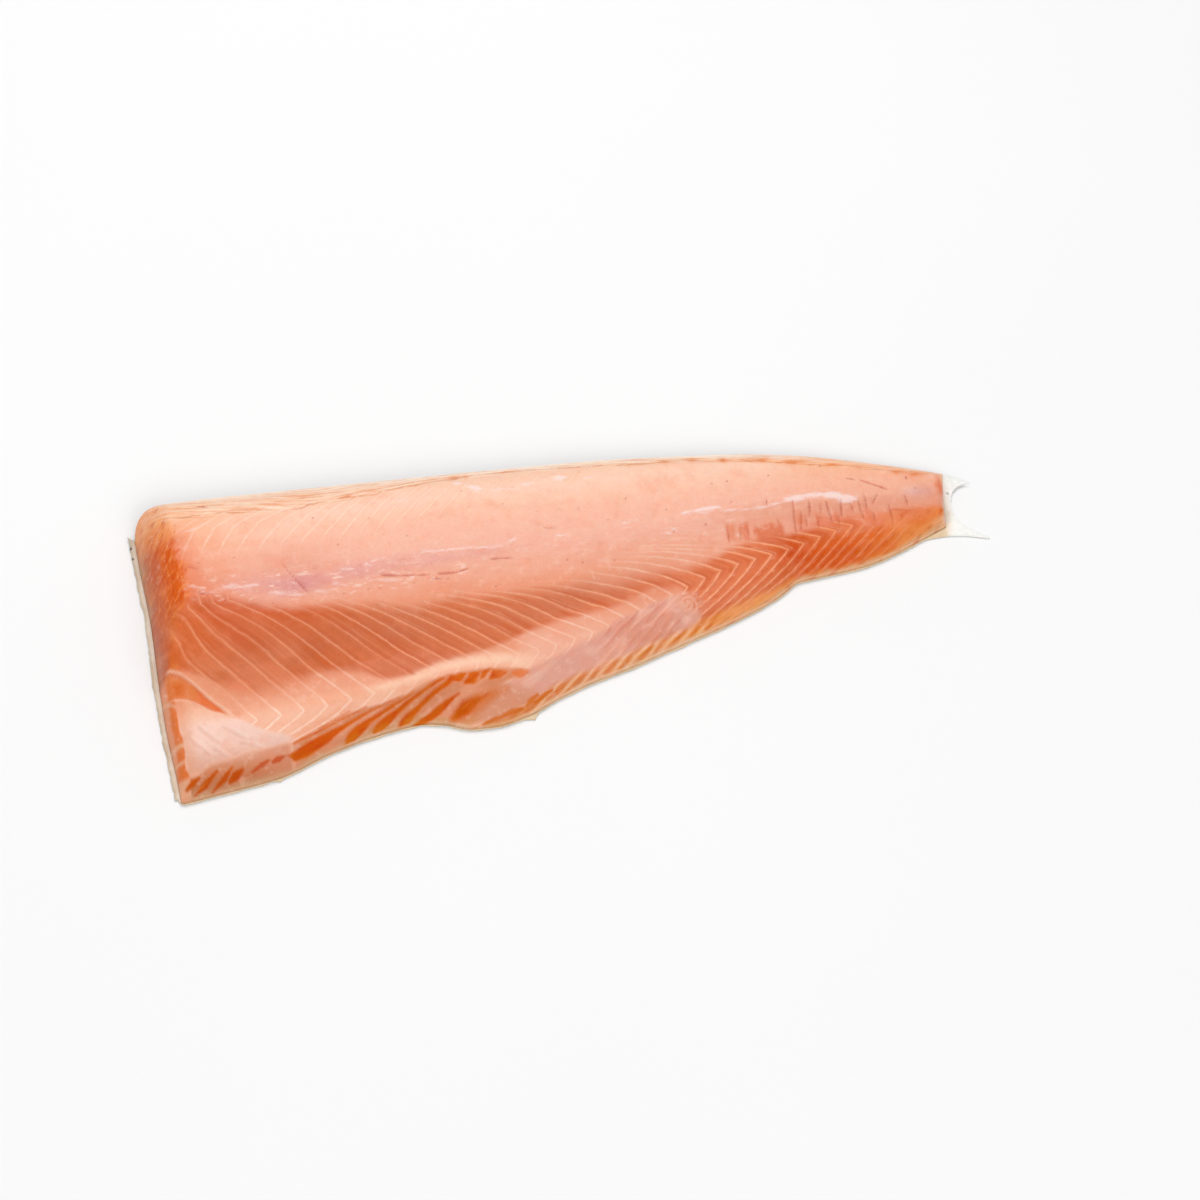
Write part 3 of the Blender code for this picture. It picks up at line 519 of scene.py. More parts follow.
    c = mix(c, tone(220, 140, 112), p["shelf"] * band(x, 14, 46, 10) * band(y, -37, -22, 6) * 0.5)
    c = mix(c, tone(242, 186, 164), p["shelf"] * step(noise(x / 3.4 - y / 2.6, y / 9 + x / 13, 93), 0.25, 0.8) * band(x, -8, 62, 12) * 0.6)
    c = mix(c, tone(215, 142, 106), p["shelf"] * step(-0.35 * x - 70 - y, -4, 5) * (1 - step(x, -34, -20)) * 0.8)
    c = mix(c, edge_tone, p["edge"] * 0.95)
    c = mix(c, mix(np.broadcast_to(tone(214, 138, 100), x.shape + (3,)), tone(226, 152, 118), step(noise(x / 9 - y / 5, y / 7, 61), -0.2, 0.7)), p["face"])
    c = mix(c, tone(232, 162, 126), p["face"] * step(y - face_floor(x), 6, 12) * 0.6)
    c = mix(c, tone(238, 166, 134), band(x, -172, -136, 10) * bump(y, curve(x, (-180, -66), (-160, -58.6), (-150, -54.8), (-136, -50)), 2.6) * 0.7)
    c = mix(c, tone(206, 150, 104), p["face"] * (1 - step(p["foot"], 1.5, 6)) * band(x, -134, -78, 10) * 0.8)
    c = mix(c, tone(213, 118, 62), (1 - step(ribbons(x, y, FADING_MEAT), -2.5, 2.5)) * 0.85)
    c = mix(c, tone(210, 142, 84), bump(x, -77, 5) * bump(y, -66.6, 2.6) * 0.85)
    c = mix(c, tone(206, 154, 112), p["face"] * (1 - step(p["foot"], 0.6, 3)) * 0.7)
    curl = np.sin(np.hypot(x - 54, y + 19) * 2.1 + 2.0 * np.arctan2(y + 19, x - 54))
    c = mix(c, tone(232, 170, 146), 0.8 * p["apex"])
    c = mix(c, tone(214, 112, 62), 0.75 * p["apex"] * step(curl, 0.1, 0.8) * step(noise(x / 5, y / 5, 22), -0.5, 0.3))
    # the membrane that lines the belly cavity
    m = ramp(y + 0.9 * fine, (-72, 222, 166, 144), (-66, 234, 190, 172), (-58, 243, 204, 188), (-50, 249, 208, 192), (-44, 246, 194, 168), (-36, 240, 176, 144))
    m = mix(m, ramp(y, (-70, 228, 166, 136), (-56, 230, 172, 144), (-44, 236, 172, 140), (-34, 232, 150, 112)), step(x, -219, -227) * 0.85)
    # painted shade in the membrane's wrinkles, and a painted highlight beside each wrinkle, offset towards the tail and
    # the back
    m = mix(m, tone(226, 174, 154), (1 - step(strokes(x, y, WRINKLES), -0.3, 1.6)) * 0.5)
    m = mix(m, tone(252, 218, 204), (1 - step(strokes(x - 1.6, y - 1.2, WRINKLES), -0.3, 1.6)) * 0.4)
    c = mix(c, m, p["membrane"])
    under = step(curve(x, (-240, -78), (-225, -76.6), (-217, -72.4), (-212, -71), (-198, -68.5), (-180, -66.8), (-171, -65)) - y, -1.8, 1.8) * (1 - step(x, -175, -170.6)) * step(x, -232, -229)
    under_tone = mix(ramp(y, (-83, 194, 126, 84), (-79, 200, 122, 82), (-76, 208, 132, 94), (-73, 212, 142, 108), (-70, 222, 160, 134)), tone(200, 146, 108), 1 - step(p["foot"], 0.5, 4))
    c = mix(c, mix(under_tone, tone(216, 140, 106), 0.5 * step(x, -196, -180)), under)
    # head end
    # the head cut's deep orange meat; darker and more saturated partly as painted shade where the cut faces away from
    # the light, and paler at its back end partly as painted light
    face = ramp(reach_of(x, y), (0.0, 188, 140, 112), (2.2, 190, 118, 84), (5.5, 200, 105, 68), (9.5, 209, 103, 60), (12.5, 217, 95, 28), (18.5, 223, 98, 30), (21.5, 228, 114, 56), (25, 236, 138, 98))
    face = mix(face, ramp(reach_of(x, y), (0, 206, 140, 102), (4, 224, 140, 92), (10, 234, 144, 90), (16, 243, 158, 104), (22, 249, 184, 142)), step(y, 52, 65))
    face = mix(face, ramp(reach_of(x, y), (0, 184, 112, 84), (4, 195, 100, 64), (8, 207, 100, 46), (12, 215, 108, 50), (16, 219, 108, 50), (22, 214, 103, 54)), step(y, 26, 12))
    c = mix(c, face, p["cutface"])
    c = mix(c, tone(228, 134, 62), p["cutface"] * step(y, 12, 2) * step(noise(x / 3.2, y / 4.0, 33), -0.1, 0.6) * bump(reach_of(x, y), 12, 6) * 0.75)
    c = mix(c, tone(234, 156, 121), p["above_lip"] * 0.9)
    c = mix(c, tone(226, 130, 76), p["wedge"])
    c = mix(c, tone(214, 100, 16), p["wedge"] * bump(x, -226, 4) * bump(y, -26.5, 3.4) * 0.8)
    c = mix(c, tone(230, 118, 66), p["wedge"] * step(x, -219, -214))
    strip = mix(np.broadcast_to(tone(228, 150, 112), x.shape + (3,)), tone(223, 119, 62), step(reach_of(x, y), 1.6, 3.2))
    gaps = bump(y, -58.6, 1.5) + bump(y, -67.8, 1.1) + step(-77 - y, -1.5, 1.5) + bump(y + 0.9 * (x + 232), -33.5, 1.1)
    c = mix(c, mix(strip, tone(230, 172, 138), gaps * 0.9), p["strip"])
    c = mix(c, tone(251, 206, 178), np.clip(p["lip_line"], 0, 1) * 0.8)
    c = mix(c, tone(232, 196, 172), (1 - step(tail_x(y, x) - x + 0.8 * noise(y / 2.5, 0 * y, 37), 0.6, 3.0)) * (1 - step(y, 24, 32)) * 0.75)
    # back edge
    rim = ramp(x, (-235, 238, 160, 104), (-214, 248, 190, 150), (-190, 250, 204, 174), (0, 250, 208, 178), (70, 248, 196, 160), (140, 248, 182, 136), (222, 244, 176, 130))
    c = mix(c, rim, p["back_rim"] * 0.85)
    # painted light: near-white along the back edge, where the light from behind falls on the shoulder
    c = mix(c, tone(255, 240, 224), (1 - step(p["rim"], 3, 11)) * step(x, -226, -206) * 0.92 * (1 - 0.72 * step(x, 108, 150)))
    for bx, by, bw, bh in BLOBS:
        c = mix(c, tone(232, 132, 70), 0.9 * bump(x, bx, bw) * bump(y, by, bh))
    # thin rim at the belly, where the skin shines through
    foot_tone = ramp(x, (-235, 208, 158, 122), (-175, 206, 158, 122), (-130, 212, 168, 132), (-84, 206, 158, 118), (-60, 214, 160, 110), (-40, 222, 182, 146))
    c = mix(c, foot_tone, (1 - step(p["foot"], 0.3, 2.4 + 0.8 * noise(x / 5, 0 * x, 35))) * 0.85)
    return c


def face_floor(x):
    return curve(x, (-180, -74), (-150, -65), (-125, -60), (-100, -57), (-80, -54), (-40, -54))


def reach_of(x, y):
    return x - HEAD_X + 1.1 * noise(y / 7, x / 9, 32) + 0.5 * noise(y / 2.4, x / 6, 34)


def relief(x, y, p, phi, pitch):
    """Height added to the smooth surface, in millimetres."""
    d = np.abs((phi + 0.5) % 1.0 - 0.5) * pitch
    inside = step(x - head_x(y), 3, 14) * step(y - belly_y(x), 1, 5) * step(p["rim"], 2, 8)
    z = 0.6 * cloud(x / 30, y / 21, 41) * inside + (0.2 * cloud(x / 6.5, y / 5, 43) + 0.06 * noise(x / 1.9, y / 1.6, 44)) * inside
    z = z - 0.2 * bump(d, 0, 0.9) * inside * (0.3 + 0.7 * p["meat"])
    z = z - 0.45 * p["face"] * (1 - step(p["flap"], -0.8, 0.8))
    z = z - 0.9 * p["wedge"] + 0.35 * bump(y - p["lip"], 1.8, 2.2) * step(x, -232, -228) * (1 - step(x, -206, -199))
    z = z - 0.6 * bump(y, middle_y(x) - 6.5, 2.6) * band(x, -130, -36, 24)
    z = z - 0.7 * (1 - step(p["dark"], -0.5, 1.1)) - 0.55 * (1 - step(p["needle"], -0.6, 1.2)) - 0.35 * (1 - step(p["pit"], -0.6, 0.8))
    z = z + 0.4 * (1 - step(p["white"], -1.2, 1.0))
    seam = y - p["seam_y"]
    z = z + (0.3 * noise(x / 24, seam / 1.7, 51) + 0.2 * noise(x / 10, seam / 1.2, 52)) * p["back_rim"] * inside
    z = z - 0.45 * bump(y, p["seam_y"], 1.1) * step(x, -225, -205) * (0.6 + 0.4 * noise(x / 12, 0 * x, 53))
    z = z + 0.4 * np.sin((x - 1.2 * y) * 2 * np.pi / 6.6 + 2 * noise(x / 11, y / 11, 9)) * (0.6 * p["shelf"] * band(x, -6, 56, 20) + 0.4 * p["edge"] * (1 - step(x, 60, 90)))
    z = z + (0.35 * cloud(x / 7, y / 9, 63) - 0.3 * (1 - step(strokes(x, y, WRINKLES), -0.3, 1.6))) * p["membrane"]
    z = z + 0.1 * np.sin(p["rings"] * 2 * np.pi / 2.6) * p["cutface"] * step(y, -10, 10)
    return z


# ================================================================ meshes
def spread(count, head, tail, reach):
    t = np.linspace(0, 1, 2000)
    density = 1 + head * np.exp(-t / reach) + tail * np.exp(-(1 - t) / reach)
    run = np.concatenate([[0], np.cumsum((density[1:] + density[:-1]) / 2)])
    return np.interp(np.linspace(0, run[-1], count + 1), run, t)


def flesh_places(u, v):
    u, v = u[:, None], v[None, :]
    guess = HEAD_X + u * (TAIL_X - HEAD_X) + 0 * v
    y = belly_y(guess) + v * (back_y(guess) - belly_y(guess))
    x = head_x(y) * (1 - u) + (TAIL_X + TAIL_SLANT * (v - 0.5)) * u
    return x, belly_y(x) + v * (back_y(x) - belly_y(x))


def make(name, points, faces, material):
    mesh = bpy.data.meshes.new(name)
    mesh.from_pydata(points, [], faces)
    mesh.validate()
    mesh.shade_smooth()
    mesh.materials.append(material)
    made = bpy.data.objects.new(name, mesh)
    bpy.context.scene.collection.objects.link(made)
    return made


def give(mesh, name, kind, values):
    layer = mesh.attributes.new(name, kind, "POINT")
    if kind == "FLOAT_COLOR":
        layer.data.foreach_set("color", np.column_stack([values, np.ones(len(values))]).astype(np.float32).ravel())
    elif kind == "FLOAT_VECTOR":
        layer.data.foreach_set("vector", values.astype(np.float32).ravel())
    else:
        layer.data.foreach_set("value", values.astype(np.float32).ravel())


def flatten(x, y, z):
    return np.column_stack([x.ravel() * MM, (y.ravel() - CENTRE_Y) * MM, z.ravel() * MM])


def build_flesh(material):
    x, y = flesh_places(spread(LONG, 2.2, 1.0, 0.05), spread(ACROSS, 0.9, 0.9, 0.06))
    rows, columns = x.shape
    p = places(x, y)
    phi, trail = septa(x, y)
    gx, gy = septa(x + 0.5, y)[0] - phi, septa(x, y + 0.5)[0] - phi
    z = flesh_top(x, y)
    sx, sy = (flesh_top(x + 0.5, y) - z) / 0.5, (flesh_top(x, y + 0.5) - z) / 0.5
    # spacing of the lines measured on the sloping surface
    slope = np.hypot(gx, gy) * 2
    run = (gx * sx + gy * sy) * 2 / np.maximum(slope, 1e-6)
    pitch = np.sqrt(1 + run * run) / np.clip(slope, 0.04, 1.2)
    gap = np.full(x.shape, GAP)
    gap[:, 0], gap[0] = 0.08, 0.08
    low = foot_z(x, y) + (SKIN_T + gap) * tilt(x, y)
    z = np.maximum(z + relief(x, y, p, phi, pitch), low + 0.65)

    # underside: the same rim, with only a few columns between
    keep = np.unique(np.r_[np.linspace(0, columns - 1, 9).astype(int), columns - 26, columns - 14, columns - 7, columns - 3])
    top = flatten(x, y, z)
    tops = rows * columns
    bottom_index = -np.ones((rows, columns), int)
    bottom_index[:, keep] = 1
    bottom_index[0], bottom_index[-1] = 1, 1
    places_used = np.argwhere(bottom_index > 0)
    bottom_index[bottom_index > 0] = tops + np.arange(len(places_used))
    pick = bottom_index >= 0
    under_x, under_y = x.copy(), y.copy()
    under_y[:, 0] -= 0.45
    under_x[0] -= 0.35
    under = flatten(under_x[pick], under_y[pick], low[pick])

    i, j = np.meshgrid(np.arange(rows - 1), np.arange(columns - 1), indexing="ij")
    a = (i * columns + j).ravel()
    quads = np.column_stack([a, a + columns, a + columns + 1, a + 1])
    faces = quads.tolist()
    b = bottom_index
    for r in range(1, rows - 2):
        for k0, k1 in zip(keep[:-1], keep[1:]):
            faces.append([b[r, k0], b[r, k1], b[r + 1, k1], b[r + 1, k0]])
    for k0, k1 in zip(keep[:-1], keep[1:]):
        faces.append([*b[0, k0 : k1 + 1], b[1, k1], b[1, k0]])
        faces.append([b[rows - 2, k0], b[rows - 2, k1], *b[rows - 1, k0 : k1 + 1][::-1]])
    t = np.arange(tops).reshape(rows, columns)
    for r in range(rows - 1):
        faces.append([b[r, 0], b[r + 1, 0], t[r + 1, 0], t[r, 0]])
        faces.append([b[r + 1, -1], b[r, -1], t[r, -1], t[r + 1, -1]])
    for c in range(columns - 1):
        faces.append([b[0, c + 1], b[0, c], t[0, c], t[0, c + 1]])
        faces.append([b[-1, c], b[-1, c + 1], t[-1, c + 1], t[-1, c]])
    faces = [[int(n) for n in f] for f in faces]
    made = make("flesh_visual", np.vstack([top, under]).tolist(), faces, material)

    def both(values):
        return np.concatenate([values.reshape(tops, -1), values[pick].reshape(len(under), -1)])

    mesh = made.data
    give(mesh, "tone", "FLOAT_COLOR", both(paint(x, y, p)))
    give(mesh, "ember", "FLOAT_COLOR", both(ember(x, y, p)))
    under_flap = step(curve(x, (-240, -78), (-225, -76.6), (-217, -72.4), (-212, -71), (-198, -68.5), (-171, -65)) - y, -2, 2) * (1 - step(x, -172.5, -171))
    hidden = 1 - (1 - p["membrane"]) * (1 - 0.9 * p["shelf"]) * (1 - p["wedge"]) * (1 - 0.8 * p["edge"]) * (1 - p["cutface"]) * (1 - p["strip"]) * (1 - 0.8 * p["apex"]) * (1 - under_flap) * (1 - p["face"]) * (1 - 0.8 * p["above_lip"])
    tired = 1 - 0.85 * step(trail, 66, 92) * step(x + trail, -50, -20) * (1 - step(y, 20, 30))
    in_meat = p["meat"] * curve(x, (-240, 0.38), (-205, 0.44), (-170, 0.44), (-120, 0.56), (-60, 0.64), (0, 0.78), (50, 0.95), (140, 0.85), (175, 0.7), (196, 0.35), (222, 0.2)) * tired * (1 - 0.3 * band(x, 120, 200, 10) * step(8 - y, -4, 6)) * (1 - 0.8 * step(x - 0.6 * y, 152, 166) * step(y, 8, 15))
    below = step(tip_y(x) + 26 - y, -8, 8) * curve(x, (-240, 0.25), (-200, 0.28), (-130, 0.34), (-90, 0.35), (-50, 0.45), (0, 0.5), (50, 0.5), (76, 0.1), (240, 0.0))
    below = np.maximum(below, 0.62 * step(tip_y(x) + 4 - y, -4, 2) * band(x, -205, -108, 8))
    loin = curve(x, (-212, 0.42), (-150, 0.46), (-110, 0.6), (-60, 0.62), (0, 0.45)) * band(y, curve(x, (-212, 46), (-140, 46), (-100, 47), (-76, 51), (-56, 58), (20, 61)), 70, 10) * band(x, -212, 4, 44) + 0.08 * band(y, 40, 74, 12) * band(x, -212, 120, 60)
    chevrons = band(y, -60, -45, 4) * band(x, -200, -172, 6) * 0.85
    amount = np.maximum(np.maximum(in_meat, below * (1 - 0.45 * p["ridge"])), np.maximum(loin, chevrons))
    amount = amount * (1 - np.clip(hidden, 0, 1)) * (1 - 0.9 * band(x, 84, 119, 4) * band(y, 12, 24, 4))
    width = 0.75 - 0.25 * step(x, 100, 170) + 0.35 * band(x, -215, -120, 30) * (1 - p["meat"]) + 0.5 * p["ridge"]
    give(mesh, "flow", "FLOAT_VECTOR", both(np.stack([phi, (x * 0.8 + y) / 10, y - p["seam_y"]], -1)))
    give(mesh, "lines", "FLOAT_VECTOR", both(np.stack([amount, width, pitch], -1)))
    give(mesh, "marks", "FLOAT_VECTOR", both(np.stack([np.minimum(p["dark"], p["pit"]), p["white"], p["needle"]], -1)))
    give(mesh, "flaps", "FLOAT_VECTOR", both(np.stack([p["flap"], p["flap2"], p["median"] * (1 - p["cutface"])], -1)))
    blobs = sum(bump(x, bx, bw) * bump(y, by, bh) for bx, by, bw, bh in BLOBS)
    streaky = p["back_rim"] * curve(x, (-240, 1), (-222, 0.8), (-205, 0.62), (-140, 0.62), (-118, 0.9), (222, 0.9)) * (1 - 0.75 * np.clip(blobs, 0, 1)) * (0.35 + 0.65 * step(p["rim"], 2, 8)) * (1 - 0.85 * (1 - step(x - HEAD_X, 9, 24)) * (1 - step(y, 76, 84)))
    give(mesh, "zones", "FLOAT_VECTOR", both(np.stack([p["cutface"] * step(y, 4, 24), streaky, p["meat"]], -1)))
    give(mesh, "foot", "FLOAT", both(p["foot"]))
    give(mesh, "grainline", "FLOAT", both(y - p["streak_y"]))
    give(mesh, "rings", "FLOAT", both(p["rings"]))
    return made


def build_skin(material):
    u, v = spread(SKIN_LONG, 2.0, 2.0, 0.03), spread(SKIN_ACROSS, 1.0, 1.6, 0.08)
    x, y = flesh_places(u, v)
    strip = np.linspace(1, 0, 5)[:-1, None]
    lead = x[:1] - SKIN_HEAD * strip * (1 + 0.1 * noise(y[:1] / 7, 0 * y[:1], 71)) - 0.35 * strip * noise(y[:1] / 2.6, 0 * y[:1], 72)
    lead_low = skin_belly_y(lead[:, :1]) + SKIN_BELLY
    lead_high = y[:1, -1:] + np.array([3.4, 2.6, 1.6, 0.7])[:, None]
    lead_y = lead_low + (y[:1] - y[0, 0]) / (y[0, -1] - y[0, 0]) * (lead_high - lead_low)
    x, y = np.vstack([lead, x]), np.vstack([lead_y, y])
    end, vv = x[-1], (y[-1] - y[-1, 0]) / (y[-1, -1] - y[-1, 0])
    reach = SKIN_TAIL + LOW_POINT * (1 - vv) ** 6.5 + HIGH_POINT * vv**6.5 + 0.25 * noise(vv * 22, 0 * vv, 73) * (1 - np.abs(2 * vv - 1) ** 3)
    for share in np.linspace(0, 1, SKIN_TAIL_ROWS + 1)[1:]:
        row = end + reach * share
        low = skin_belly_y(row) + SKIN_BELLY
        x, y = np.vstack([x, row]), np.vstack([y, low + vv * (skin_back_y(row) - low)])
    ragged = 0.22 * noise(x[:, :1] / 2.3, 0 * x[:, :1], 74) + 0.3 * noise(x[:, :1] / 6.0, 0 * x[:, :1], 75)
    ragged = ragged * band(x[:, :1], -232, 200, 8) - 3.0 * bump(x[:, :1], -41.5, 1.9) - 1.2 * bump(x[:, :1], -45, 1.4) - 1.1 * bump(x[:, :1], -181.5, 1.1)
    x, y = np.hstack([x[:, :1], x[:, :1], x]), np.hstack([skin_belly_y(x[:, :1]) + ragged, skin_belly_y(x[:, :1]) + 0.5 * SKIN_BELLY, y])
    rows, columns = x.shape
    low = foot_z(x, y)
    thin = SKIN_T * (1 - 0.5 * step(x, TAIL_X + SKIN_TAIL, TAIL_X + SKIN_TAIL + LOW_POINT))
    high = low + thin * tilt(x, y)
    high[:, 0] = low[:, 0] + 0.25
    high[0], high[-1] = low[0] + 0.3, low[-1] + 0.2
    # scales: overlapping rounded plates in staggered rows, drawn into the underside
    sx, sy = x / 3.4, y / 2.9
    row = np.floor(sy)
    fx = (sx + 0.5 * (row % 2)) % 1.0
    plate = np.clip(1 - np.hypot((fx - 0.35) * 1.1, (sy - row - 0.5) * 1.0), 0, 1)
    low = low + 0.1 * (1 - plate) * step(high - low, 0.3, 0.6) * (foot_z(x, y) > 0.25)
    faces = []
    t = np.arange(rows * columns).reshape(rows, columns)
    i, j = np.meshgrid(np.arange(rows - 1), np.arange(columns - 1), indexing="ij")
    a = (i * columns + j).ravel()
    n = rows * columns
    faces += np.column_stack([a, a + columns, a + columns + 1, a + 1]).tolist()
    faces += (np.column_stack([a, a + 1, a + columns + 1, a + columns]) + n).tolist()
    for r in range(rows - 1):
        faces.append([int(t[r, 0]) + n, int(t[r + 1, 0]) + n, int(t[r + 1, 0]), int(t[r, 0])])
        faces.append([int(t[r + 1, -1]) + n, int(t[r, -1]) + n, int(t[r, -1]), int(t[r + 1, -1])])
    for c in range(columns - 1):
        faces.append([int(t[0, c + 1]) + n, int(t[0, c]) + n, int(t[0, c]), int(t[0, c + 1])])
        faces.append([int(t[-1, c]) + n, int(t[-1, c + 1]) + n, int(t[-1, c + 1]), int(t[-1, c])])
    made = make("skin_visual", np.vstack([flatten(x, y, high), flatten(x, y, low)]).tolist(), faces, material)
    side = np.concatenate([np.zeros(n), np.ones(n)])
    across = (y - belly_y(x)) / (back_y(np.clip(x, HEAD_X + CORNER_R, 222)) - belly_y(x))
    spots = np.full(x.shape, 9.0)
    for sx0, sy0, sr in ((-238.0, 71.4, 0.9), (-237.8, 64.8, 0.95), (-236.2, 82.4, 1.3), (-234.6, 84.6, 0.8), (222.5, 33.6, 0.7)):
        spots = np.minimum(spots, np.hypot(x - sx0, (y - sy0)) - sr)
    tail = step(x + 0.35 * np.maximum(20 - y, 0), TAIL_X - 2.5, TAIL_X + 5.5) * (x > 190)
    give(made.data, "skin", "FLOAT_VECTOR", np.stack([side, np.tile(across.ravel(), 2), np.tile(spots.ravel(), 2)], -1))
    give(made.data, "place", "FLOAT_VECTOR", np.stack([np.tile(x.ravel(), 2), np.tile(y.ravel(), 2), np.tile(tail.ravel(), 2)], -1))
    return made


# ================================================================ materials
class Nodes:
    def __init__(self, name):
        self.material = bpy.data.materials.new(name)
        self.material.use_nodes = True
        self.tree = self.material.node_tree
        self.shader = self.tree.nodes["Principled BSDF"]

    def put(self, socket, value):
        if hasattr(value, "is_output"):
            self.tree.links.new(value, socket)
        elif value is not None:
            socket.default_value = value

    def new(self, kind, **settings):
        node = self.tree.nodes.new(kind)
        for key, value in settings.items():
            setattr(node, key, value)
        return node

    def math(self, operation, a, b=None, c=None, clamp=False):
        node = self.new("ShaderNodeMath", operation=operation, use_clamp=clamp)
        for socket, value in zip(node.inputs, (a, b, c)):
            self.put(socket, value)
        return node.outputs[0]

    def ramp(self, value, low, high, to_low=0.0, to_high=1.0, smooth=True):
        node = self.new("ShaderNodeMapRange", interpolation_type="SMOOTHSTEP" if smooth else "LINEAR")
        for key, v in zip(("Value", "From Min", "From Max", "To Min", "To Max"), (value, low, high, to_low, to_high)):
            self.put(node.inputs[key], v)
        return node.outputs["Result"]

    def mix(self, factor, a, b):
        node = self.new("ShaderNodeMix", data_type="RGBA", clamp_factor=True)
        self.put(node.inputs["Factor"], factor)
        for key, value in (("A", a), ("B", b)):
            socket = [s for s in node.inputs if s.name == key and s.type == "RGBA"][0]
            self.put(socket, (*value, 1.0) if isinstance(value, (tuple, list, np.ndarray)) else value)
        return [s for s in node.outputs if s.type == "RGBA"][0]

    def mix_value(self, factor, a, b):
        """A number between a and b."""
        node = self.new("ShaderNodeMix", data_type="FLOAT", clamp_factor=True)
        for socket, value in zip(node.inputs[:1] + node.inputs[2:4], (factor, a, b)):
            self.put(socket, value)
        return node.outputs[0]

    def scale(self, colour, value):
        """A colour times a number."""
        node = self.new("ShaderNodeVectorMath", operation="SCALE")
        self.put(node.inputs[0], colour)
        self.put(node.inputs["Scale"], value)
        return node.outputs[0]

    def attribute(self, name):
        node = self.new("ShaderNodeAttribute", attribute_name=name)
        return node

    def split(self, vector):
        node = self.new("ShaderNodeSeparateXYZ")
        self.put(node.inputs[0], vector)
        return node.outputs

    def join(self, x, y, z=0.0):
        node = self.new("ShaderNodeCombineXYZ")
        for socket, value in zip(node.inputs, (x, y, z)):
            self.put(socket, value)
        return node.outputs[0]

    def noise(self, vector, scale=1.0, detail=2.0, roughness=0.5, distortion=0.0):
        node = self.new("ShaderNodeTexNoise")
        self.put(node.inputs["Vector"], vector)
        node.inputs["Scale"].default_value = scale
        node.inputs["Detail"].default_value = detail
        node.inputs["Roughness"].default_value = roughness
        node.inputs["Distortion"].default_value = distortion
        return node.outputs[0]

    def set(self, **values):
        for key, value in values.items():
            self.put(self.shader.inputs[key.replace("_", " ")], value)


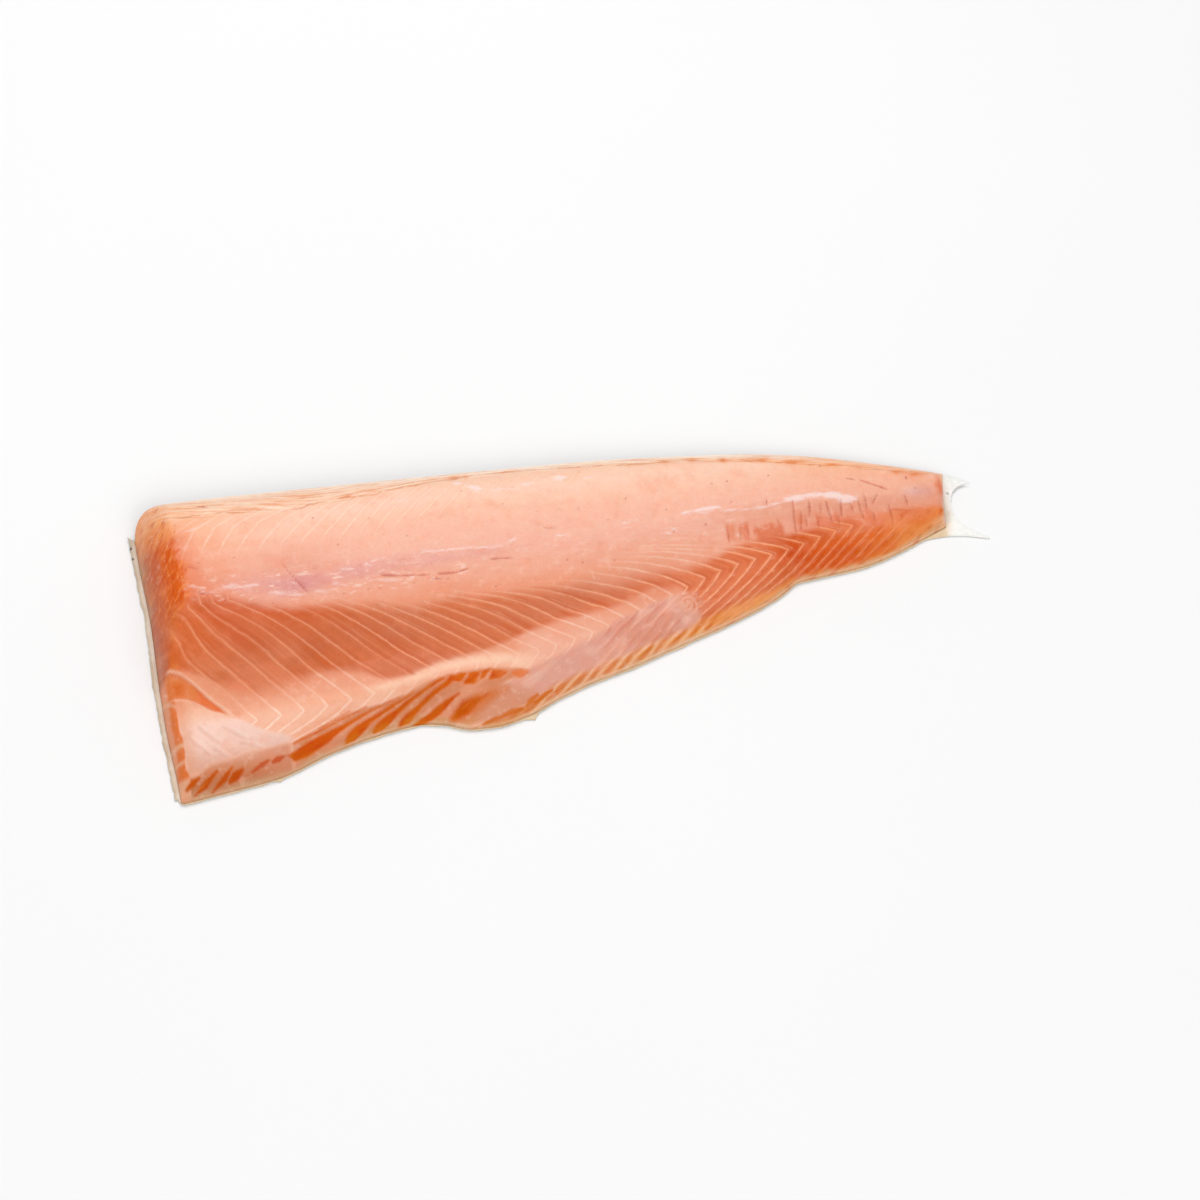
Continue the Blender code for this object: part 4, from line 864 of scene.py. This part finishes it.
def flesh_material():
    n = Nodes("salmon_flesh_wet")
    place = n.new("ShaderNodeTexCoord").outputs["Object"]
    phi, along, seam = n.split(n.attribute("flow").outputs["Vector"])[:3]
    amount, width, pitch = n.split(n.attribute("lines").outputs["Vector"])[:3]
    dark, white, needle = n.split(n.attribute("marks").outputs["Vector"])[:3]
    flap, flap2, median = n.split(n.attribute("flaps").outputs["Vector"])[:3]
    cut, back, meat = n.split(n.attribute("zones").outputs["Vector"])[:3]
    rings = n.attribute("rings").outputs["Fac"]
    colour = n.attribute("tone").outputs["Color"]
    x, y, z = n.split(place)[:3]

    grain = n.noise(place, 1400, 3, 0.6)
    speck = n.noise(place, 420, 3, 0.55)
    mottle = n.noise(place, 190, 3, 0.6)
    patch = n.noise(place, 70, 4, 0.55)
    waver = n.noise(place, 110, 2, 0.5)

    # broad and fine variation of the meat itself; the fine mottle is also painted shade and light of small bumps
    fibre = n.noise(n.join(n.math("MULTIPLY", phi, 9.0), along, 0.0), 1.0, 4, 0.6)
    shade = n.ramp(fibre, 0.25, 0.75, 0.93, 1.06, smooth=False)
    colour = n.scale(colour, n.mix_value(meat, n.ramp(fibre, 0.25, 0.75, 0.98, 1.02, smooth=False), shade))
    colour = n.mix(n.math("MULTIPLY", n.ramp(patch, 0.5, 0.72), 0.22), colour, tuple(tone(244, 150, 112)))
    # painted shade and light: the fine mottle darkens and lightens spots a few millimetres across, standing for small
    # bumps as well as the meat's own mottled tone
    colour = n.mix(n.math("MULTIPLY", n.ramp(mottle, 0.52, 0.72), 0.16), colour, tuple(tone(236, 140, 108)))
    colour = n.mix(n.math("MULTIPLY", n.ramp(mottle, 0.47, 0.3), n.mix_value(meat, 0.2, 0.03)), colour, tuple(tone(253, 212, 192)))
    block = n.noise(n.join(n.math("MULTIPLY", phi, 1.3), n.math("MULTIPLY", along, 0.7), 7.0), 1.0, 3, 0.55)
    colour = n.mix(n.math("MULTIPLY", n.ramp(block, 0.5, 0.68), n.math("MULTIPLY", meat, 0.42)), colour, tuple(tone(203, 84, 34)))
    colour = n.mix(n.math("MULTIPLY", n.ramp(block, 0.46, 0.3), n.math("MULTIPLY", meat, 0.3)), colour, tuple(tone(232, 146, 106)))
    brush = n.noise(n.join(n.math("MULTIPLY", phi, 16.0), n.math("MULTIPLY", along, 2.2), 2.0), 1.0, 3, 0.6)
    colour = n.scale(colour, n.mix_value(meat, 1.0, n.ramp(brush, 0.3, 0.7, 0.95, 1.05, smooth=False)))

    # lines between the muscle blocks
    phase = n.math("ADD", phi, n.math("MULTIPLY", n.math("SUBTRACT", waver, 0.5), 0.2))
    away = n.math("ABSOLUTE", n.math("SUBTRACT", n.math("FRACT", n.math("ADD", phase, 0.5)), 0.5))
    away = n.math("MULTIPLY", away, pitch)
    away = n.math("ADD", away, n.math("MULTIPLY", n.math("SUBTRACT", speck, 0.5), 0.75))
    half = n.math("MULTIPLY", width, 0.5)
    line = n.math("SUBTRACT", 1.0, n.ramp(n.math("SUBTRACT", away, half), -0.35, 0.5))
    halo = n.math("SUBTRACT", 1.0, n.ramp(n.math("SUBTRACT", away, half), 0.0, 2.0))
    strength = n.ramp(n.noise(n.join(phi, n.math("MULTIPLY", along, 0.9), 0.0), 1.6, 3, 0.6), 0.3, 0.6, 0.4, 1.0)
    twin = n.math("ABSOLUTE", n.math("SUBTRACT", n.math("FRACT", n.math("ADD", phase, 0.24)), 0.5))
    twin = n.math("ADD", n.math("MULTIPLY", twin, pitch), n.math("MULTIPLY", n.math("SUBTRACT", waver, 0.5), 1.6))
    twin = n.math("MULTIPLY", n.math("SUBTRACT", 1.0, n.ramp(twin, 0.1, 0.65)), n.ramp(n.noise(n.join(phi, along, 4.0), 1.1, 2, 0.5), 0.5, 0.62))
    # the shaded side of each line, and the pale side
    shady = n.math("ADD", n.math("MULTIPLY", n.math("SUBTRACT", n.math("FRACT", phase), 0.16), pitch), 0.0)
    shady = n.math("SUBTRACT", 1.0, n.ramp(n.math("ABSOLUTE", shady), 0.2, 1.7))
    colour = n.mix(n.math("MULTIPLY", n.math("MULTIPLY", shady, amount), n.math("MULTIPLY", meat, n.ramp(x, 0.0, 0.06, 0.34, 0.5))), colour, tuple(tone(194, 80, 42)))
    colour = n.mix(n.math("MULTIPLY", n.math("MULTIPLY", halo, amount), 0.2), colour, tuple(tone(246, 170, 132)))
    colour = n.mix(n.math("MULTIPLY", n.math("MULTIPLY", twin, amount), n.math("MULTIPLY", meat, 0.35)), colour, tuple(tone(248, 180, 146)))
    pale = n.mix(n.ramp(x, 0.09, 0.15), tuple(tone(251, 175, 135)), tuple(tone(251, 164, 112)))
    pale = n.mix(meat, tuple(tone(254, 218, 197)), pale)
    colour = n.mix(n.math("MULTIPLY", n.math("MULTIPLY", line, strength), amount), colour, pale)

    # rings of the head cut
    ring = n.math("FRACT", n.math("ADD", n.math("DIVIDE", rings, 2.3), n.math("MULTIPLY", waver, 2.4)))
    ring = n.math("SUBTRACT", 1.0, n.ramp(n.math("ABSOLUTE", n.math("SUBTRACT", ring, 0.5)), 0.02, 0.26))
    ring = n.math("MULTIPLY", ring, n.ramp(mottle, 0.42, 0.62))
    colour = n.mix(n.math("MULTIPLY", n.math("MULTIPLY", ring, cut), 0.16), colour, tuple(tone(244, 164, 104)))
    over = n.math("SUBTRACT", n.math("MULTIPLY", x, 0.8), n.math("MULTIPLY", y, 0.6))
    aslant = n.math("ADD", n.math("MULTIPLY", x, 0.6), n.math("MULTIPLY", y, 0.8))
    slash = n.noise(n.join(n.math("MULTIPLY", over, 430), n.math("MULTIPLY", aslant, 110), 6.0), 1.0, 3, 0.6, 0.3)
    colour = n.mix(n.math("MULTIPLY", n.math("MULTIPLY", n.ramp(slash, 0.52, 0.62), cut), n.ramp(x, -0.228, -0.219, 0.25, 0.5)), colour, tuple(tone(248, 158, 92)))
    colour = n.mix(n.math("MULTIPLY", n.math("MULTIPLY", n.ramp(slash, 0.47, 0.37), cut), 0.5), colour, tuple(tone(204, 80, 26)))

    # streaks along the back edge
    grainline = n.attribute("grainline").outputs["Fac"]
    streak = n.noise(n.join(n.math("MULTIPLY", x, 30), n.math("MULTIPLY", grainline, 0.62), 0.0), 1.0, 4, 0.66, 0.12)
    colour = n.mix(n.math("MULTIPLY", n.math("MULTIPLY", n.ramp(streak, 0.53, 0.59), back), 0.85), colour, tuple(tone(230, 142, 88)))
    colour = n.mix(n.math("MULTIPLY", n.math("MULTIPLY", n.ramp(streak, 0.48, 0.41), back), n.ramp(x, 0.1, 0.15, 0.8, 0.4)), colour, tuple(tone(255, 232, 208)))
    crack = n.noise(n.join(n.math("MULTIPLY", x, 60), n.math("MULTIPLY", seam, 0.3), 3.0), 1.0, 3, 0.6)
    seam_d = n.math("ABSOLUTE", n.math("ADD", seam, n.math("MULTIPLY", n.math("SUBTRACT", mottle, 0.5), 3.4)))
    seam_m = n.math("MULTIPLY", n.math("SUBTRACT", 1.0, n.ramp(seam_d, 0.1, 0.9)), n.ramp(crack, 0.44, 0.56))
    seam_m = n.math("MULTIPLY", seam_m, n.ramp(x, -0.222, -0.205))
    colour = n.mix(n.math("MULTIPLY", seam_m, 0.62), colour, tuple(tone(216, 132, 84)))

    # whitish flecks of connective tissue along the middle
    fleck = n.noise(n.join(n.math("MULTIPLY", x, 130), n.math("MULTIPLY", y, 420), 0.0), 1.0, 3, 0.6, 0.4)
    colour = n.mix(n.math("MULTIPLY", n.math("MULTIPLY", n.ramp(fleck, 0.56, 0.68), median), 0.55), colour, tuple(tone(253, 218, 204)))
    colour = n.mix(n.math("MULTIPLY", n.math("MULTIPLY", n.ramp(fleck, 0.42, 0.3), median), 0.35), colour, tuple(tone(222, 132, 116)))

    # belly meat laid open, cuts, pin-bone pits, needle dents, fat
    jitter = n.math("MULTIPLY", n.math("SUBTRACT", n.noise(place, 800, 2, 0.6), 0.5), 1.1)
    lengthwise = n.math("ADD", n.math("MULTIPLY", x, 0.87), n.math("MULTIPLY", y, 0.5))
    crosswise = n.math("SUBTRACT", n.math("MULTIPLY", y, 0.87), n.math("MULTIPLY", x, 0.5))
    glow = n.noise(n.join(n.math("MULTIPLY", lengthwise, 90), n.math("MULTIPLY", crosswise, 420), 1.0), 1.0, 3, 0.6)
    ember = n.attribute("ember").outputs["Color"]
    ember = n.mix(n.math("MULTIPLY", n.ramp(glow, 0.48, 0.34), 0.55), ember, tuple(tone(202, 66, 0)))
    ember = n.mix(n.math("MULTIPLY", n.ramp(glow, 0.54, 0.72), 0.5), ember, tuple(tone(226, 124, 52)))
    flap_m = n.math("SUBTRACT", 1.0, n.ramp(n.math("ADD", flap, jitter), -0.9, 1.0))
    colour = n.mix(n.math("MULTIPLY", flap_m, 0.985), colour, ember)
    flap2_m = n.math("SUBTRACT", 1.0, n.ramp(n.math("ADD", flap2, jitter), -0.6, 0.8))
    faint = n.mix(n.ramp(x, -0.178, -0.172), tuple(tone(200, 84, 44)), tuple(tone(212, 108, 32)))
    colour = n.mix(n.math("MULTIPLY", flap2_m, 0.85), colour, faint)
    ragged = n.math("MULTIPLY", n.math("SUBTRACT", n.noise(n.join(n.math("MULTIPLY", x, 160), n.math("MULTIPLY", y, 620), 5.0), 1.0, 3, 0.6), 0.5), 5.0)
    # white gristle, partly painted highlights of wet sheen
    white_m = n.math("SUBTRACT", 1.0, n.ramp(n.math("ADD", white, n.math("ADD", n.math("MULTIPLY", jitter, 1.2), ragged)), -1.5, 1.2))
    colour = n.mix(n.math("MULTIPLY", white_m, n.ramp(x, -0.11, -0.07, 0.5, 0.72)), colour, tuple(tone(252, 228, 224)))
    dark_m = n.math("SUBTRACT", 1.0, n.ramp(n.math("ADD", dark, n.math("MULTIPLY", jitter, 0.7)), -0.3, 0.5))
    colour = n.mix(n.math("MULTIPLY", dark_m, 0.6), colour, tuple(tone(196, 98, 84)))
    needle_m = n.math("SUBTRACT", 1.0, n.ramp(n.math("ADD", needle, jitter), -0.6, 0.7))
    colour = n.mix(n.math("MULTIPLY", needle_m, 0.55), colour, tuple(tone(184, 84, 58)))

    colour = n.scale(colour, n.ramp(grain, 0.3, 0.7, 0.96, 1.04, smooth=False))
    vivid = n.math("MAXIMUM", n.math("MAXIMUM", flap_m, n.math("MULTIPLY", flap2_m, 0.8)), n.math("MULTIPLY", meat, n.ramp(x, 0.1, 0.13, 0.0, 0.75)))
    n.set(Base_Color=colour, Metallic=0.0, IOR=1.38, Specular_IOR_Level=n.mix_value(vivid, 0.2, 0.05), Coat_Weight=n.mix_value(vivid, 0.12, 0.0), Coat_Roughness=0.12, Coat_IOR=1.36)
    n.set(Roughness=n.ramp(speck, 0.3, 0.7, 0.34, 0.5))
    n.shader.subsurface_method = "RANDOM_WALK"
    n.set(Subsurface_Weight=0.15, Subsurface_Radius=(1.0, 0.34, 0.16), Subsurface_Scale=0.002)
    height = n.math("ADD", n.math("MULTIPLY", n.noise(place, 260, 5, 0.6), 1.0), n.math("MULTIPLY", fibre, 0.5))
    bump_node = n.new("ShaderNodeBump")
    bump_node.inputs["Strength"].default_value = 0.35
    bump_node.inputs["Distance"].default_value = 0.0005
    n.put(bump_node.inputs["Height"], height)
    n.put(n.shader.inputs["Normal"], bump_node.outputs[0])
    return n.material


def skin_material():
    n = Nodes("salmon_skin_wet")
    place = n.new("ShaderNodeTexCoord").outputs["Object"]
    side, across, spots = n.split(n.attribute("skin").outputs["Vector"])[:3]
    x, y, tail = n.split(n.attribute("place").outputs["Vector"])[:3]
    speck = n.noise(place, 500, 3, 0.6)
    patch = n.noise(place, 60, 3, 0.5)

    # the cut rim and the inner side: pale connective tissue
    inner = n.mix(n.ramp(patch, 0.35, 0.7), tuple(tone(206, 182, 156)), tuple(tone(222, 206, 186)))
    inner = n.mix(n.math("MULTIPLY", n.ramp(across, 0.7, 0.96), 0.5), inner, tuple(tone(186, 172, 152)))
    inner = n.mix(n.math("MULTIPLY", n.ramp(across, 0.1, 0.0), n.ramp(x, -236.0, -228.0)), inner, tuple(tone(236, 206, 168)))
    inner = n.mix(n.math("MULTIPLY", tail, 0.95), inner, tuple(tone(250, 250, 246)))
    spot_m = n.math("SUBTRACT", 1.0, n.ramp(n.math("ADD", spots, n.math("MULTIPLY", n.math("SUBTRACT", speck, 0.5), 1.6)), -0.5, 0.5))
    inner = n.mix(n.math("MULTIPLY", spot_m, n.mix_value(tail, 0.85, 0.4)), inner, tuple(tone(78, 70, 62)))

    # outer side: white belly, silver flank, dark back with round black spots
    scale_v = n.new("ShaderNodeTexVoronoi", feature="F1")
    n.put(scale_v.inputs["Vector"], n.join(n.math("MULTIPLY", x, 0.29), n.math("MULTIPLY", y, 0.36), 0.0))
    scale_v.inputs["Scale"].default_value = 1.0
    scale_v.inputs["Randomness"].default_value = 0.25
    cell = scale_v.outputs["Distance"]
    outer = n.mix(n.ramp(across, 0.2, 0.5), tuple(tone(226, 226, 222)), tuple(tone(170, 176, 178)))
    outer = n.mix(n.ramp(n.math("ADD", across, n.math("MULTIPLY", n.math("SUBTRACT", patch, 0.5), 0.12)), 0.56, 0.82), outer, tuple(tone(70, 84, 88)))
    outer = n.mix(n.math("MULTIPLY", n.ramp(cell, 0.3, 0.62), 0.45), outer, tuple(tone(96, 104, 108)))
    dots = n.new("ShaderNodeTexVoronoi", feature="F1")
    n.put(dots.inputs["Vector"], n.join(n.math("MULTIPLY", x, 0.055), n.math("MULTIPLY", y, 0.055), 0.0))
    dots.inputs["Scale"].default_value = 1.0
    dot = n.math("MULTIPLY", n.math("SUBTRACT", 1.0, n.ramp(n.math("ADD", dots.outputs["Distance"], n.math("MULTIPLY", n.math("SUBTRACT", speck, 0.5), 0.05)), 0.12, 0.17)), n.ramp(across, 0.55, 0.64))
    outer = n.mix(n.math("MULTIPLY", dot, 0.9), outer, tuple(tone(26, 28, 30)))
    outer = n.mix(n.math("MULTIPLY", tail, 0.85), outer, tuple(tone(238, 238, 232)))
    colour = n.mix(n.ramp(side, 0.82, 0.98), inner, outer)
    colour = n.scale(colour, n.ramp(speck, 0.3, 0.7, 0.94, 1.05, smooth=False))
    n.set(Base_Color=colour, IOR=1.4, Coat_Weight=0.4, Coat_Roughness=0.14)
    n.set(Metallic=n.math("MULTIPLY", n.ramp(side, 0.82, 0.98), n.ramp(across, 0.2, 0.5, 0.2, 0.45)))
    n.set(Roughness=n.ramp(speck, 0.3, 0.7, 0.28, 0.42))
    n.set(Subsurface_Weight=0.1, Subsurface_Radius=(1.0, 0.7, 0.5), Subsurface_Scale=0.001)
    bump_node = n.new("ShaderNodeBump")
    bump_node.inputs["Strength"].default_value = 0.4
    bump_node.inputs["Distance"].default_value = 0.0004
    n.put(bump_node.inputs["Height"], n.math("SUBTRACT", n.math("MULTIPLY", speck, 0.3), n.math("MULTIPLY", cell, side)))
    n.put(n.shader.inputs["Normal"], bump_node.outputs[0])
    return n.material


flesh = build_flesh(flesh_material())
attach(flesh, "root")
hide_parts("flesh")

skin = build_skin(skin_material())
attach(skin, "root")
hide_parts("skin")


# ================================================================ stage, light and camera
def stage_material():
    n = Nodes("stage_white")
    place = n.new("ShaderNodeTexCoord").outputs["Object"]
    cloudy = n.noise(place, 3, 2, 0.5)
    n.set(Base_Color=n.mix(cloudy, (0.93, 0.93, 0.93), (0.95, 0.95, 0.95)), Roughness=0.6, Specular_IOR_Level=0.2)
    return n.material


floor_mesh = bpy.data.meshes.new("stage_floor")
floor_mesh.from_pydata([(-6, -6, -0.0004), (6, -6, -0.0004), (6, 6, -0.0004), (-6, 6, -0.0004)], [], [(0, 1, 2, 3)])
floor_mesh.materials.append(stage_material())
floor = bpy.data.objects.new("stage_floor", floor_mesh)
bpy.context.scene.collection.objects.link(floor)


def softbox(name, place, aim, width, height, power, colour=(1, 1, 1)):
    data = bpy.data.lights.new(name, "AREA")
    data.shape = "RECTANGLE"
    data.size, data.size_y, data.energy, data.color = width, height, power, colour
    lamp = bpy.data.objects.new(name, data)
    lamp.location = place
    lamp.rotation_euler = (Vector(aim) - Vector(place)).to_track_quat("-Z", "Y").to_euler()
    bpy.context.scene.collection.objects.link(lamp)
    return lamp


softbox("key_back", (0.05, 1.15, 1.9), (0, 0.02, 0), 1.6, 1.0, 20)
softbox("fill_left", (-1.7, -0.5, 1.5), (0, 0, 0), 1.2, 1.2, 6)
softbox("fill_front", (0.4, -1.6, 1.5), (0, 0, 0), 1.8, 1.0, 12.5)

world = bpy.data.worlds.new("stage_world")
world.use_nodes = True
world.node_tree.nodes["Background"].inputs["Color"].default_value = (1, 1, 1, 1)
world.node_tree.nodes["Background"].inputs["Strength"].default_value = 0.5
bpy.context.scene.world = world

eye = bpy.data.cameras.new("camera")
eye.sensor_width, eye.lens, eye.clip_end = 36.0, 84.0, 50.0
camera = bpy.data.objects.new("camera", eye)
right = Vector((0.97093079, -0.21928325, 0.09595966))
up = Vector((0.14097236, 0.84786358, 0.51113026))
back = right.cross(up)
turn = Matrix((right, up, back)).transposed()
camera.matrix_world = Matrix.Translation((-0.28896, -0.74885, 1.31932)) @ turn.to_4x4()
bpy.context.scene.collection.objects.link(camera)
bpy.context.scene.camera = camera
bpy.context.scene.view_settings.view_transform = "Standard"
